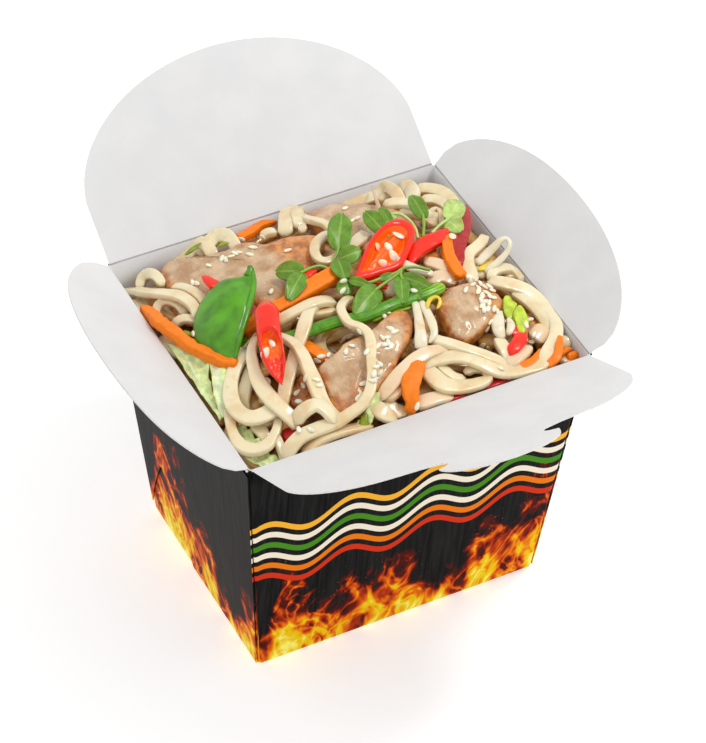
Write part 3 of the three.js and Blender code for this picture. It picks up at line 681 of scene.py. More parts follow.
def layer_outline():
    """Edge of the folded outer layer on a side wall, as (y, z) from the front foot round."""
    def bend(a, b, c, count):
        return [a * (1 - t) ** 2 + b * 2 * t * (1 - t) + c * t * t
                for t in (i / count for i in range(1, count + 1))]
    top = HEIGHT - 3
    points = [Vector((-half_y(1.2) + 0.6, 1.2)), Vector((8, 1.2)), Vector((8, 19))]
    points += bend(Vector((8, 19)), Vector((10.4, 32)), Vector((14.2, 48.3)), 8)
    points += bend(Vector((14.2, 48.3)), Vector((31, 28)), Vector((half_y(4) - 0.6, 4)), 14)
    points += [Vector((half_y(top) - 0.6, top)), Vector((-half_y(top) + 0.6, top))]
    return points


def add_side_layers(finishes):
    for side, name in ((-1, "fold_left"), (1, "fold_right")):
        bm = bmesh.new()
        verts = [bm.verts.new((side * (half_x(p.y) + 0.05), p.x, p.y)) for p in layer_outline()]
        face = bm.faces.new(verts)
        if face.normal.x * side < 0 or side * face.calc_center_median().x < 0:
            face.normal_update()
        bmesh.ops.triangulate(bm, faces=[face])
        for i in range(1, 12):
            geom = bm.verts[:] + bm.edges[:] + bm.faces[:]
            bmesh.ops.bisect_plane(bm, geom=geom, plane_co=(0, 0, HEIGHT * i / 12), plane_no=(0, 0, 1))
        for i in range(1, 11):
            geom = bm.verts[:] + bm.edges[:] + bm.faces[:]
            place = -half_y(HEIGHT) + RIM_Y * i / 11
            bmesh.ops.bisect_plane(bm, geom=geom, plane_co=(0, place, 0), plane_no=(0, 1, 0))
        for vert in bm.verts:
            z = vert.co.z
            across = vert.co.y / half_y(z)
            vert.co.x += side * 0.5 * math.sin(math.pi * z / HEIGHT) * max(0, 1 - across ** 2)
        bmesh.ops.dissolve_degenerate(bm, edges=bm.edges[:], dist=0.01)
        raised = bmesh.ops.extrude_face_region(bm, geom=bm.faces[:])
        outer = [v for v in raised["geom"] if isinstance(v, bmesh.types.BMVert)]
        bmesh.ops.translate(bm, verts=outer, vec=(side * 0.4, 0, 0))
        bmesh.ops.recalc_face_normals(bm, faces=bm.faces)
        finish_piece(name, bm, [finishes["print"]], "root", "carton", smooth=False)


def arc(a, b, c, d, count):
    """Points of a cubic bend from a to d, without a."""
    made = []
    for i in range(1, count + 1):
        t = i / count
        made.append(a * (1 - t) ** 3 + b * 3 * t * (1 - t) ** 2 + c * 3 * t * t * (1 - t) + d * t ** 3)
    return made


def mirrored(half):
    """Closes a half outline that starts and ends on the middle line."""
    return half + [Vector((-p.x, p.y)) for p in reversed(half) if abs(p.x) > 1e-6]


FLAP_START = 0.02
LONG_FLAP_HALF = 57.2
SIDE_FLAP_HALF = 50.5


def front_flap_outline():
    half = LONG_FLAP_HALF
    points = [Vector((half, FLAP_START)), Vector((half, 26))]
    points += arc(Vector((half, 26)), Vector((56, 33)), Vector((50, 41)), Vector((32, 44)), 12)
    points += [Vector((23, 45.6)), Vector((17, 47.2)), Vector((15.6, 48.4))]
    points += [Vector((15.8, 49.8)), Vector((17, 50.6)), Vector((19.6, 51.2))]
    points += arc(Vector((19.6, 51.2)), Vector((19, 57)), Vector((12, 61.6)), Vector((0, 62)), 12)
    return mirrored(points)


def back_flap_outline():
    half = LONG_FLAP_HALF
    points = [Vector((half, FLAP_START)), Vector((half, 20))]
    points += arc(Vector((half, 20)), Vector((56, 36)), Vector((36, 57.5)), Vector((0, 57.8)), 24)
    return mirrored(points)


def side_flap_outline():
    half = SIDE_FLAP_HALF
    points = [Vector((half, FLAP_START)), Vector((half + 1.2, 5)), Vector((half + 0.4, 9.5))]
    points += arc(
        Vector((half + 0.4, 9.5)), Vector((half - 5, 20)), Vector((half - 22, 29)), Vector((0, 29)), 20)
    return mirrored(points)


def flap_matrix(name):
    reach = RIM_X / 2 if abs(FLAP_HEADING[name]) == 90 else RIM_Y / 2
    return (
        Matrix.Rotation(math.radians(FLAP_HEADING[name]), 4, "Z")
        @ Matrix.Translation((0, reach + HINGE_OUT, HEIGHT + HINGE_RISE))
        @ Matrix.Rotation(math.radians(FLAP_TILT[name]), 4, "X")
    )


def add_flap(name, outline, bow, finishes):
    """Lid flap with a soft bow, white above and printed below."""
    bm = bmesh.new()
    face = bm.faces.new([bm.verts.new((p.x, p.y, 0)) for p in outline])
    bmesh.ops.triangulate(bm, faces=[face])
    reach = max(p.y for p in outline)
    for axis, low, high, count in ((Vector((1, 0, 0)), -57, 57, 16), (Vector((0, 1, 0)), 0, reach, 9)):
        for i in range(1, count):
            place = low + (high - low) * i / count
            geom = bm.verts[:] + bm.edges[:] + bm.faces[:]
            bmesh.ops.bisect_plane(bm, geom=geom, plane_co=axis * place, plane_no=axis)
    for vert in bm.verts:
        out = vert.co.y / reach
        near_middle = 0.5 + 0.5 * math.cos(math.pi * vert.co.x / 64)
        vert.co.z = bow * math.sin(math.pi * 0.5 * out) * out * near_middle
        vert.co.z += 0.25 * noise.noise(Vector((vert.co.x / 21, vert.co.y / 17, reach))) * out
    bmesh.ops.recalc_face_normals(bm, faces=bm.faces)
    if sum(f.normal.z for f in bm.faces) < 0:
        bmesh.ops.reverse_faces(bm, faces=bm.faces[:])
    bmesh.ops.solidify(bm, geom=bm.faces[:], thickness=-BOARD)
    bmesh.ops.recalc_face_normals(bm, faces=bm.faces)
    for face in bm.faces:
        face.material_index = 0 if face.normal.z > 0.5 else (1 if face.normal.z < -0.5 else 2)
    bmesh.ops.transform(bm, matrix=flap_matrix(name), verts=bm.verts)
    return finish_piece(
        name + "_board", bm, [finishes["white"], finishes["dark"], finishes["edge"]],
        name, "flap", [name], smooth=False)


# Noodles

# Strands that show, each a route of picture column, picture row, rise above the food, width
STRANDS = {
    "loop_by_chilli": [
        (300, 428, 0.5, 4.4), (290, 417, 3.2, 4.8), (279, 407, 4.2, 4.8), (268, 396, 4.8, 4.8),
        (258, 381, 5.2, 4.6),
        (253, 365, 5.4, 3.8), (252, 350, 5.4, 2.8), (257, 339, 5, 2.4), (268, 334, 4.6, 2.4),
        (281, 337, 4.8, 2.6),
        (294, 344, 5.2, 3.6), (303, 356, 5.4, 4.4), (309, 370, 5.4, 4.6), (315, 384, 5.2, 4.8),
        (320, 397, 5, 4.8),
        (328, 410, 4.4, 4.6), (340, 422, 2.5, 4.2)],
    "middle_band": [
        (316, 304, 3.4, 4), (309, 313, 5, 4), (305, 324, 5.8, 4.2), (301, 337, 5, 4), (296, 351, 3.8, 4),
        (292, 366, 2.8, 4),
        (287, 381, 2.4, 4.2), (284, 396, 2.2, 4.2), (281, 410, 1, 4)],
    "long_curve": [
        (283, 462, -1, 4.6), (290, 449, 1.4, 4.8), (301, 437, 2.8, 4.8), (318, 429, 3.8, 4.4),
        (336, 423, 4.8, 4),
        (351, 415, 5.6, 3.8), (363, 404, 6.4, 3.4), (370, 391, 7, 3.2), (372, 376, 7.4, 3.1),
        (371, 360, 7.4, 3.1),
        (371, 345, 7.4, 3.3), (368, 334, 7.2, 3), (360, 327, 7, 2.7), (350, 324, 6.8, 2.8),
        (344, 317, 6.6, 2.8),
        (341, 309, 6.2, 2.8), (345, 302, 5, 3), (352, 298, 3, 3)],
    "saddle": [
        (295, 424, 2.5, 4.6), (300, 415, 4.6, 4.8), (308, 408, 6, 5), (317, 405, 6.4, 5.2),
        (326, 410, 6, 5),
        (333, 418, 5.2, 4.6), (341, 425, 3, 4)],
    "front_low": [
        (303, 458, -1, 4), (311, 450, 0.8, 4.4), (320, 440, 1.8, 4.4), (332, 434, 2.2, 4.2),
        (346, 432, 2.2, 4),
        (360, 430, 1.6, 4), (373, 427, 0, 4)],
    "left_loop": [
        (249, 349, 2, 4), (241, 357, 2.8, 4.4), (235, 369, 3, 4.4), (231, 383, 3, 4.6),
        (231, 398, 2.8, 4.8),
        (237, 411, 2.8, 5), (249, 418, 3, 5.4), (262, 416, 3, 5.2), (273, 410, 2.6, 4.8), (283, 403, 1, 4)],
    "left_inner": [
        (255, 362, 0.5, 4), (249, 376, 0.8, 4), (245, 390, 0.6, 4.2), (243, 403, -0.6, 4.2),
        (246, 414, -2, 4)],
    "left_inner_right": [(266, 378, 0, 3.4), (264, 392, 0, 3.6), (266, 405, -0.6, 3.8)],
    "corner_loop": [
        (229, 408, 0.5, 3.6), (230, 421, 1.2, 3.4), (233, 434, 1.8, 3.4), (241, 446, 2.2, 4.4),
        (254, 450, 2.4, 5),
        (266, 446, 2.2, 4.6), (274, 436, 1.6, 3), (278, 425, 1, 2.6), (279, 413, -0.5, 2.6)],
    "corner_thin": [(275, 434, 0.8, 2.6), (280, 446, 0.8, 2.8), (285, 458, -0.5, 3)],
    "corner_inner": [(252, 424, -1, 3.6), (261, 431, -1, 3.8), (268, 442, -1.6, 3.6)],
    "over_stalk": [
        (275, 324, 4, 4.2), (284, 318, 4.6, 4.2), (297, 311, 5, 4.2), (312, 304, 5, 4.4),
        (325, 301, 4.2, 4.4),
        (336, 303, 2.5, 4)],
    "under_stalk": [(338, 310, 2, 3), (327, 313, 2.6, 3), (314, 315, 2.8, 3), (300, 319, 2, 3)],
    "pale_by_pea": [(235, 358, 1, 3), (240, 351, 1.8, 3.2), (248, 347, 2.2, 3.2), (255, 345, 1.5, 3)],
    "behind_leaf": [(396, 272, 3, 4.5), (392, 284, 3, 4.8), (390, 296, 2.4, 4.6)],
    "right_band": [
        (424, 333, 3, 4), (436, 340, 3.6, 4.2), (450, 344, 3.8, 4.2), (465, 349, 3.8, 4.4),
        (480, 354, 3.6, 4.6),
        (495, 360, 3.2, 4.6), (508, 366, 1.5, 4.2)],
    "broad_rosy": [
        (379, 400, 1.5, 3), (389, 387, 3, 4.2), (400, 374, 3.8, 4.8), (412, 363, 4.2, 4.8),
        (425, 354, 4.2, 4),
        (440, 350, 3.4, 3.4), (452, 349, 2, 3)],
    "broad_under": [(384, 399, 0.6, 4.6), (394, 391, 1.2, 5.6), (402, 380, 1.4, 5.6), (408, 368, 1, 5)],
    "long_arc": [
        (420, 369, 1.5, 3.8), (432, 362, 2.6, 4), (446, 358, 3.2, 4), (460, 357, 3.6, 4.2),
        (474, 361, 4, 4.2),
        (487, 367, 4.2, 4.4), (500, 373, 4.2, 4.4), (514, 376, 4, 4.2), (528, 373, 4, 4.4),
        (540, 365, 4.2, 5),
        (549, 353, 4.4, 5.2), (555, 340, 4.4, 4.8), (556, 326, 4.4, 4.4), (551, 313, 4.4, 4.4),
        (541, 301, 4.4, 5),
        (528, 292, 4.4, 5), (514, 286, 4.4, 4.8), (500, 283, 4, 4.6), (488, 281, 2, 4)],
    "inner_arc": [
        (512, 291, 3, 3.4), (524, 299, 3.4, 3.6), (535, 309, 3.4, 3.6), (544, 320, 3.2, 3.6),
        (550, 333, 2.6, 3.4),
        (551, 345, 1.5, 3.2)],
    "wide_loop": [
        (421, 364, 0.8, 4.4), (430, 374, 2, 5.4), (442, 384, 2.6, 5.6), (456, 389, 2.8, 5.4),
        (470, 391, 2.8, 4.8),
        (482, 387, 2.8, 4), (488, 379, 2.6, 3), (485, 371, 2.2, 2.6), (475, 369, 1.6, 2.8),
        (464, 373, 1, 3)],
    "wide_loop_inner": [(438, 364, 0.8, 3.6), (446, 372, 1.4, 3.6), (455, 378, 1.4, 3.4), (466, 380, 0.8, 3)],
    "fat_front": [
        (414, 404, 0, 4.4), (424, 402, 1.2, 5), (435, 399, 1.4, 5), (446, 397, 1, 4.4),
        (454, 396, -0.5, 3.6)],
    "fat_middle": [(372, 403, 0.5, 4.4), (380, 411, 1.6, 5.2), (389, 417, 1.4, 4.8), (398, 420, -0.5, 4)],
    "behind_fat": [(381, 402, -1, 4), (390, 406, -0.6, 4.4), (398, 413, -1, 4.4), (404, 406, -1.4, 4.4)],
    "right_short": [(497, 338, 1.5, 3.6), (503, 347, 2.4, 4.8), (508, 357, 2, 4.4), (510, 366, 0.5, 4)],
    "right_rosy": [(529, 346, 2.6, 4), (521, 354, 3, 5), (512, 362, 2.8, 5.2), (504, 369, 1, 4.6)],
    "right_chunk": [(531, 329, 2, 5.6), (540, 334, 2.6, 6), (547, 341, 2, 5.4)],
    "corner_cut": [(561, 336, 3, 3), (566, 342, 3, 4.4), (571, 348, 2.4, 4)],
    "corner_low": [(558, 358, 1, 4), (566, 358, 1.4, 5), (573, 352, 1, 4)],
    "right_arch": [
        (489, 280, 2.4, 3), (493, 273, 3.6, 3.4), (501, 269, 4.2, 3.8), (510, 269, 4, 3.6),
        (517, 275, 3.2, 3.2),
        (522, 283, 2, 3)],
    "right_arch_inner": [(505, 277, 2, 3.6), (512, 276, 2, 3.6), (519, 284, 1, 3.4)],
    "standing_curl": [
        (473, 284, 1, 4), (470, 273, 2.4, 4.6), (467, 263, 3.2, 4.6), (469, 254, 4, 4),
        (476, 248, 4.6, 3.6),
        (482, 242, 5, 3.4), (485, 236, 5, 3.2)],
    "standing_second": [(483, 278, 1, 3.4), (478, 268, 1.8, 3.6), (474, 259, 1.6, 3.4)],
    "small_curl": [
        (441, 226, 2, 1.8), (441, 215, 3, 1.8), (437, 209, 3.2, 1.8), (431, 212, 2.8, 1.8), (428, 220, 2, 2)],
    "below_curl": [(425, 222, 1.5, 4), (432, 217, 2, 4.4), (440, 221, 1.5, 4)],
    "back_arch": [
        (336, 203, 1, 3.6), (344, 194, 3, 3.8), (356, 187, 4.4, 4), (371, 184, 4.8, 4), (385, 186, 4.8, 4),
        (395, 192, 4.4, 4), (401, 202, 3, 4)],
    "back_arch_inner": [(352, 199, 1, 3.4), (363, 193, 2, 3.6), (376, 193, 2, 3.6), (386, 200, 1, 3.4)],
    "back_fold": [(399, 188, 3.4, 4.4), (408, 187, 4, 5), (413, 194, 3.6, 5), (411, 204, 2.4, 4.6)],
    "back_right": [
        (416, 190, 3.4, 4.2), (428, 189, 4.2, 4.4), (441, 192, 4.4, 4.4), (453, 198, 4.2, 4.2),
        (463, 206, 3.4, 4),
        (470, 215, 1.5, 3.8)],
    "back_right_inner": [
        (420, 201, 1.5, 3.6), (433, 200, 2.2, 3.8), (445, 205, 2.2, 3.8), (452, 214, 1, 3.6)],
    "back_low": [
        (384, 206, 4.6, 4), (396, 203, 5, 4.4), (409, 205, 5, 4.4), (421, 211, 4.6, 4.4), (432, 219, 3.6, 4)],
    "back_lower": [(398, 214, 3, 4), (411, 213, 3.6, 4.4), (424, 217, 3.4, 4.4), (436, 226, 2.6, 4)],
    "back_thread": [(445, 203, 5, 2.4), (452, 210, 4.8, 2.6), (457, 219, 4.2, 2.6), (457, 230, 3, 2.4)],
    "back_upright": [
        (285, 236, 1, 5), (286, 224, 3.4, 5.2), (287, 213, 5, 4.6), (292, 209, 5.4, 4),
        (297, 217, 4.4, 4.2),
        (299, 228, 2.5, 4)],
    "back_upright_second": [
        (303, 233, 1.5, 3), (301, 221, 3.2, 3.2), (298, 210, 4.4, 3.2), (296, 203, 4.2, 3)],
    "back_short": [(261, 238, 1, 3.4), (268, 233, 2, 3.8), (277, 232, 1.6, 3.8)],
    "ring_lead": [
        (296, 214, 3, 2.6), (307, 219, 3.8, 2.8), (318, 222, 4.4, 2.8), (326, 225, 4.4, 2.8),
        (331, 232, 3.6, 2.8)],
    "ring": [
        (332, 233, 3.6, 3), (323, 237, 4.6, 3.2), (316, 245, 5, 3.4), (315, 254, 5, 3.2),
        (321, 261, 4.8, 2.8),
        (330, 261, 4.4, 2.8), (338, 256, 3.6, 2.6)],
    "pale_strip": [(368, 233, 3, 4), (358, 241, 3.4, 4.4), (348, 250, 3, 4)],
    "back_left_arch": [
        (171, 268, -1, 4.4), (174, 257, 1.5, 4.6), (181, 247, 3.6, 4.8), (191, 242, 4.6, 4.8),
        (201, 243, 4.4, 4.6),
        (209, 249, 3, 4.4), (213, 258, 1, 4.4)],
    "back_second_arch": [
        (199, 256, 1, 4.4), (207, 246, 3, 4.8), (216, 237, 4.6, 4.8), (226, 236, 5, 4.6),
        (233, 242, 4.4, 4.2),
        (238, 251, 2.5, 4)],
    "left_long": [
        (124, 290, 1, 3.8), (135, 291, 2.6, 4), (150, 293, 3.4, 4.2), (165, 294, 3.8, 4.2),
        (178, 296, 4, 4),
        (189, 302, 3.8, 3.8), (196, 311, 3, 3.8), (198, 321, 1.5, 3.8)],
    "left_upper": [
        (172, 287, 2.6, 3), (184, 288, 3.2, 3), (195, 293, 3.4, 3), (203, 301, 2.6, 3), (206, 311, 1, 3)],
    "left_small_arch": [
        (140, 290, 0.5, 3), (142, 279, 2.4, 3.4), (149, 274, 3.4, 3.6), (157, 277, 3.2, 3.4),
        (163, 286, 2, 3.2)],
    "left_low_loop": [
        (155, 322, 0, 3), (156, 311, 1, 3), (161, 303, 1.8, 3), (170, 301, 2, 3.2), (180, 306, 1.4, 3.2),
        (186, 316, 0.4, 3)],
    "left_wall": [(136, 300, -1, 3.4), (142, 306, -0.6, 3.6), (146, 316, -1, 3.6)],
    "left_short": [(173, 328, 0, 2.8), (179, 321, 1.4, 3), (188, 319, 1.8, 3), (198, 322, 1, 3)],
    "left_broad": [(160, 337, 0, 5), (172, 345, 0.4, 6), (184, 355, 0, 5.4)],
    "pale_sheet": [(424, 262, 2.4, 4), (438, 265, 2.8, 4.4), (452, 272, 2.4, 4.4), (462, 282, 1, 4)],
    "pale_sheet_low": [(428, 282, 1.5, 4), (442, 277, 2, 4.4), (456, 283, 1.5, 4)],
}
STRAND_THICK = 2.1
ROSY = {
    "broad_rosy", "broad_under", "right_rosy", "right_chunk", "pale_sheet", "pale_sheet_low",
    "fat_front", "corner_low",
}
FILL_LAYERS = ((-2.4, 60), (-5.5, 40))


def place_widths(points, widths):
    """Width as a function of the distance along the route from 0 to 1."""
    run = [0.0]
    for a, b in zip(points, points[1:]):
        run.append(run[-1] + (b - a).length)

    def width(t):
        goal = t * run[-1]
        for i in range(len(run) - 1):
            if goal <= run[i + 1] or i == len(run) - 2:
                share = (goal - run[i]) / max(run[i + 1] - run[i], 1e-6)
                share = share * share * (3 - 2 * share) if 0 <= share <= 1 else share
                return widths[i] + (widths[i + 1] - widths[i]) * min(max(share, 0), 1)
        return widths[-1]
    return width


def add_strand(bm, points, widths, thick, tone, dice, sides=10):
    tone_layer, across_layer, rosy_layer = layers(bm, "tone", "across", "rosy")
    length = sum((b - a).length for a, b in zip(points, points[1:]))
    rings = max(8, int(length / 1.4))
    width = place_widths(points, widths)
    twist = dice.uniform(-0.5, 0.5) * min(1, length / 60)
    phase = dice.uniform(-0.25, 0.25)
    ripple = dice.uniform(0, 6)
    rosy = 1.0 if tone < 0 else 0.0

    def section(t, angle, mm):
        breathe = 1 + 0.05 * math.sin(ripple + t * mm * 0.35)
        wide = width(t) * breathe
        return flat_section(wide, min(thick, wide * 0.8), 0.32, twist, phase)(t, angle, mm)

    def marks(t, angle, place):
        # Painted shade: tone grows with depth below the food's surface, so lower noodles darken toward the
        # deep colour, partly for sauce and partly for the shade that falls deep in the heap.
        depth = (heap_top(place.x, place.y) + 1 - place.z) / 9
        return {
            tone_layer: abs(tone) + max(0.0, min(1.0, depth)) * 0.75,
            across_layer: math.cos(angle),
            rosy_layer: rosy,
        }

    sweep(bm, points, section, rings, sides, marks)


def fill_strands(dice):
    """Arcs that fill the heap between and below the noodles that show."""
    for rise, count in FILL_LAYERS:
        for _ in range(count):
            x = dice.uniform(-50, 50)
            y = dice.uniform(-44, 44)
            reach = dice.uniform(7, 19)
            squash = dice.uniform(0.5, 1)
            turn = dice.uniform(0, math.pi)
            start = dice.uniform(0, 2 * math.pi)
            sweep_angle = dice.uniform(1.6, 4.2)
            points = []
            for k in range(7):
                angle = start + sweep_angle * k / 6
                a, b = math.cos(angle) * reach, math.sin(angle) * reach * squash
                px = x + a * math.cos(turn) - b * math.sin(turn)
                py = y + a * math.sin(turn) + b * math.cos(turn)
                lift = rise + dice.uniform(-1.2, 1.2)
                points.append(inside_walls(Vector((px, py, heap_top(px, py) + lift)), 2.6))
            yield points


def add_noodles(finishes):
    dice = random.Random(11)
    bm = bmesh.new()
    for name, route in STRANDS.items():
        points = [inside_walls(on_heap(*p[:3]), p[3] * 0.42 + 0.4) for p in route]
        tone = dice.uniform(0.02, 0.22)
        add_strand(bm, points, [p[3] for p in route], STRAND_THICK, -tone if name in ROSY else tone, dice, 16)
    for points in fill_strands(dice):
        wide = dice.uniform(4, 5)
        # Fill strands take a high tone: painted shade darkening the gaps between the noodles that show,
        # partly also sauce colour.
        add_strand(bm, points, [wide] * len(points), STRAND_THICK, dice.uniform(0.35, 0.8), dice, 8)
    finish_piece("noodle_heap", bm, [finishes["noodle"]], "root", "noodle", ["noodles"])

    # Core: a mass below the noodles whose dark brown finish is partly sauce and partly painted shade for the
    # gaps.
    core = bmesh.new()
    bmesh.ops.create_grid(core, x_segments=72, y_segments=64, size=1)
    rim = [e for e in core.edges if e.is_boundary]
    skirt = bmesh.ops.extrude_edge_only(core, edges=rim)
    foot = {v for v in skirt["geom"] if isinstance(v, bmesh.types.BMVert)}
    floor = 1.0
    for vert in core.verts:
        x, y = vert.co.x * 60, vert.co.y * 54
        if vert in foot:
            vert.co = inside_walls(Vector((x, y, floor)), 0.5)
            continue
        z = heap_top(x * 0.9, y * 0.9) - 8.5 + 1.4 * noise.noise(Vector((x / 6, y / 6, 3)))
        vert.co = inside_walls(Vector((x, y, z)), 0.5)
    bmesh.ops.holes_fill(core, edges=[e for e in core.edges if e.is_boundary], sides=0)
    finish_piece("noodle_core", core, [finishes["core"]], "root", "noodle")


# Pork and flat cuts


def add_slab(name, outline, thick, finishes, seed, browning=None, slot="pork", finish="pork",
             node=None, rough=1.0):
    """Slice or lump inside a closed outline of picture points. browning(u, v) adds to the edge
    value, with u and v from -1 to 1 across the piece."""
    points = [inside_walls(on_heap(*p), 0.6) for p in outline]
    centre = sum(points, Vector()) / len(points)
    up = Vector()
    for a, b in zip(points, points[1:] + points[:1]):
        up += (a - centre).cross(b - centre)
    up.normalize()
    if up.z < 0:
        up = -up
    middle_rise = sum(p.z - heap_top(p.x, p.y) for p in points) / len(points)
    bm = bmesh.new()
    edge_layer, inside_layer = layers(bm, "edge", "inside")
    bmesh.ops.create_uvsphere(bm, u_segments=96, v_segments=40, radius=1)
    shift = Vector((seed * 7.1, seed * 3.3, seed))
    reach_x = max(abs(p.x - centre.x) for p in points)
    reach_y = max(abs(p.y - centre.y) for p in points)
    for vert in bm.verts:
        flat = min(1.0, math.hypot(vert.co.x, vert.co.y))
        angle = math.atan2(vert.co.y, vert.co.x) / (2 * math.pi)
        rim = closed_catmull(points, angle)
        out = (rim - centre).normalized()
        depth = power(vert.co.z, 0.45) * 0.5 * thick
        share = flat ** 0.56
        place = centre + (rim - centre) * share
        rim_rise = rim.z - heap_top(rim.x, rim.y)
        place.z = heap_top(place.x, place.y) + middle_rise * (1 - share) + rim_rise * share
        place += up * (depth - thick * 0.5)
        place -= out * 0.35 * (1 - vert.co.z) * flat
        coarse = noise.noise(place / 5.5 + shift)
        fine = noise.noise(place / 1.7 + shift * 2)
        grain = noise.noise(Vector((place.x / 0.8, place.y / 3.4, place.z / 2)) + shift)
        swell = (coarse * 0.75 + fine * 0.22 + grain * 0.16) * rough
        place += (up * 0.75 + out * 0.5 * flat) * swell
        if browning:
            u = (place.x - centre.x) / reach_x
            v = (place.y - centre.y) / reach_y
            vert[edge_layer] = max(0.0, flat ** 5 * 1.1 + browning(u, v) + coarse * 0.4)
        vert[inside_layer] = 0.0
        vert.co = place
    return finish_piece(name, bm, [finishes[finish]], "root", slot, [node] if node else ())


def add_pork(finishes):
    add_slab("pork_long_meat", [
        (159, 270, 4), (161, 263, 4.8), (167, 259, 5.4), (175, 257, 5.8), (187, 256, 5.8), (199, 255, 5.8),
        (211, 252, 5.6), (223, 248, 5.6), (235, 242, 5.6), (246, 239, 5.6), (258, 239, 5.4),
        (268, 240, 5.2),
        (278, 237, 5.2), (289, 234, 5.2), (301, 231, 5.2), (313, 231, 5), (323, 234, 4.6), (324, 240, 4.4),
        (317, 248, 4.2), (314, 258, 4), (312, 268, 3.6), (307, 278, 3.2), (299, 288, 3), (288, 298, 3),
        (276, 304, 3), (262, 303, 3.4), (244, 300, 3.8), (226, 299, 4), (210, 299, 4.2), (197, 293, 4.2),
        (185, 288, 4), (173, 287, 3.8), (164, 281, 3.8),
    ], 6, finishes, 1, lambda u, v: 1.3 * max(0, u + 0.05) + 2.4 * max(0, -0.82 - u) - 0.1, node="pork_long")
    add_slab("pork_back_meat", [
        (304, 214, 3.4), (311, 208, 4.2), (321, 203, 4.6), (333, 200, 4.8), (346, 200, 5), (359, 199, 5),
        (371, 201, 5), (384, 204, 5), (397, 206, 4.8), (409, 210, 4.6), (417, 219, 4.2), (420, 231, 3.6),
        (414, 242, 3.2), (401, 249, 3), (386, 250, 3), (369, 248, 3), (353, 244, 3.2), (340, 238, 3.4),
        (326, 231, 3.4), (313, 223, 3.4),
    ], 6, finishes, 2, lambda u, v: 0.9 * max(0, v - 0.5) + 1.2 * max(0, -0.6 - u) - 0.1, node="pork_back")
    add_slab("pork_front_meat", [
        (317, 367, 5), (322, 360, 5.6), (330, 354, 5.8), (337, 349, 6), (343, 342, 6.2), (351, 337, 6.4),
        (360, 333, 6.4), (369, 329, 6.4), (377, 322, 6.4), (385, 315, 6.4), (393, 309, 6.2), (401, 306, 6),
        (409, 308, 5.6), (414, 315, 5.2), (415, 325, 5), (412, 336, 4.8), (407, 346, 4.6), (401, 356, 4.6),
        (396, 366, 4.4), (390, 375, 4.2), (383, 384, 4), (375, 394, 3.8), (365, 403, 3.6), (353, 412, 3.4),
        (343, 417, 3.4), (336, 413, 3.6), (331, 403, 4), (327, 391, 4.4), (322, 378, 4.8),
    ], 6, finishes, 3, lambda u, v: 1.1 * max(0, u - 0.2) + 0.7 * max(0, -v - 0.2) - 0.1, node="pork_front")
    add_slab("pork_cube_meat", [
        (438, 301, 5.2), (441, 292, 5.8), (449, 285, 6.4), (460, 281, 7), (472, 278, 7.4), (484, 276, 7.4),
        (493, 283, 6.8), (501, 290, 6.2), (505, 298, 5.6), (503, 307, 5.2), (498, 314, 4.8),
        (490, 322, 4.6),
        (482, 330, 4.4), (474, 336, 4.2), (467, 339, 4.2), (458, 337, 4.2), (451, 331, 4.4),
        (446, 321, 4.6), (441, 311, 4.8),
    ], 8, finishes, 4, lambda u, v: 3 * max(0, u - 0.35) + 0.12, node="pork_cube")
    add_slab("pork_bit_left_meat", [
        (304, 368, 0.6), (310, 378, 0.6), (314, 392, 0.6), (311, 404, 0.6), (303, 411, 0.4),
        (293, 406, 0.2),
        (288, 397, 0.2), (293, 384, 0.4), (299, 374, 0.6),
    ], 5, finishes, 5, lambda u, v: 0.7, node="pork_bit_left")
    add_slab("pork_bit_right_meat", [
        (525, 314, 1.4), (536, 313, 1.4), (544, 321, 1.2), (542, 334, 1), (533, 343, 1), (524, 340, 1.2),
        (520, 326, 1.4),
    ], 4.5, finishes, 6, lambda u, v: 0.8, node="pork_bit_right")
    add_slab("pork_bit_back_meat", [
        (170, 304, -0.4), (178, 302, 0), (188, 305, 0.2), (194, 312, 0.2), (193, 320, 0),
        (183, 321, -0.2), (174, 314, -0.4),
    ], 4, finishes, 7, lambda u, v: 0.5, node="pork_bit_back")
    add_slab("pork_behind_meat", [
        (424, 242, 2.4), (434, 244, 2.6), (441, 252, 2.4), (441, 262, 2), (432, 264, 1.8), (422, 258, 2),
    ], 4, finishes, 8, lambda u, v: 0.9)


# Vegetables


def strip_piece(name, route, thick, finish, slot, finishes, node=None, square=0.45, twist=0.0, phase=0.0,
                seed=0, rough=0.1, sides=16, inside=0.0, ends=0.6):
    """Cut strip along a route of picture points, each with its rise and width."""
    points = [inside_walls(on_heap(*p[:3]), p[3] * 0.4 + 0.4) for p in route]
    width = place_widths(points, [p[3] for p in route])
    length = sum((b - a).length for a, b in zip(points, points[1:]))
    bm = bmesh.new()
    names = ("inside", "tone", "along", "across", "rosy")
    inside_layer, tone_layer, along_layer, across_layer, rosy_layer = layers(bm, *names)

    def section(t, angle, mm):
        wide = width(t)
        out, rise = flat_section(wide, min(thick, wide * 0.9), square, twist, phase, ends)(t, angle, mm)
        spot = Vector((t * mm / 2.4, math.cos(angle) * 1.5, math.sin(angle) * 1.5 + seed))
        jag = 1 + rough * noise.noise(spot)
        return out * jag, rise * jag

    def marks(t, angle, place):
        return {
            inside_layer: inside,
            tone_layer: 0.1,
            along_layer: t,
            across_layer: math.cos(angle),
            rosy_layer: 0.0,
        }

    sweep(bm, points, section, max(8, int(length / 0.7)), sides, marks)
    return finish_piece(name, bm, [finishes[finish]], "root", slot, [node] if node else ())


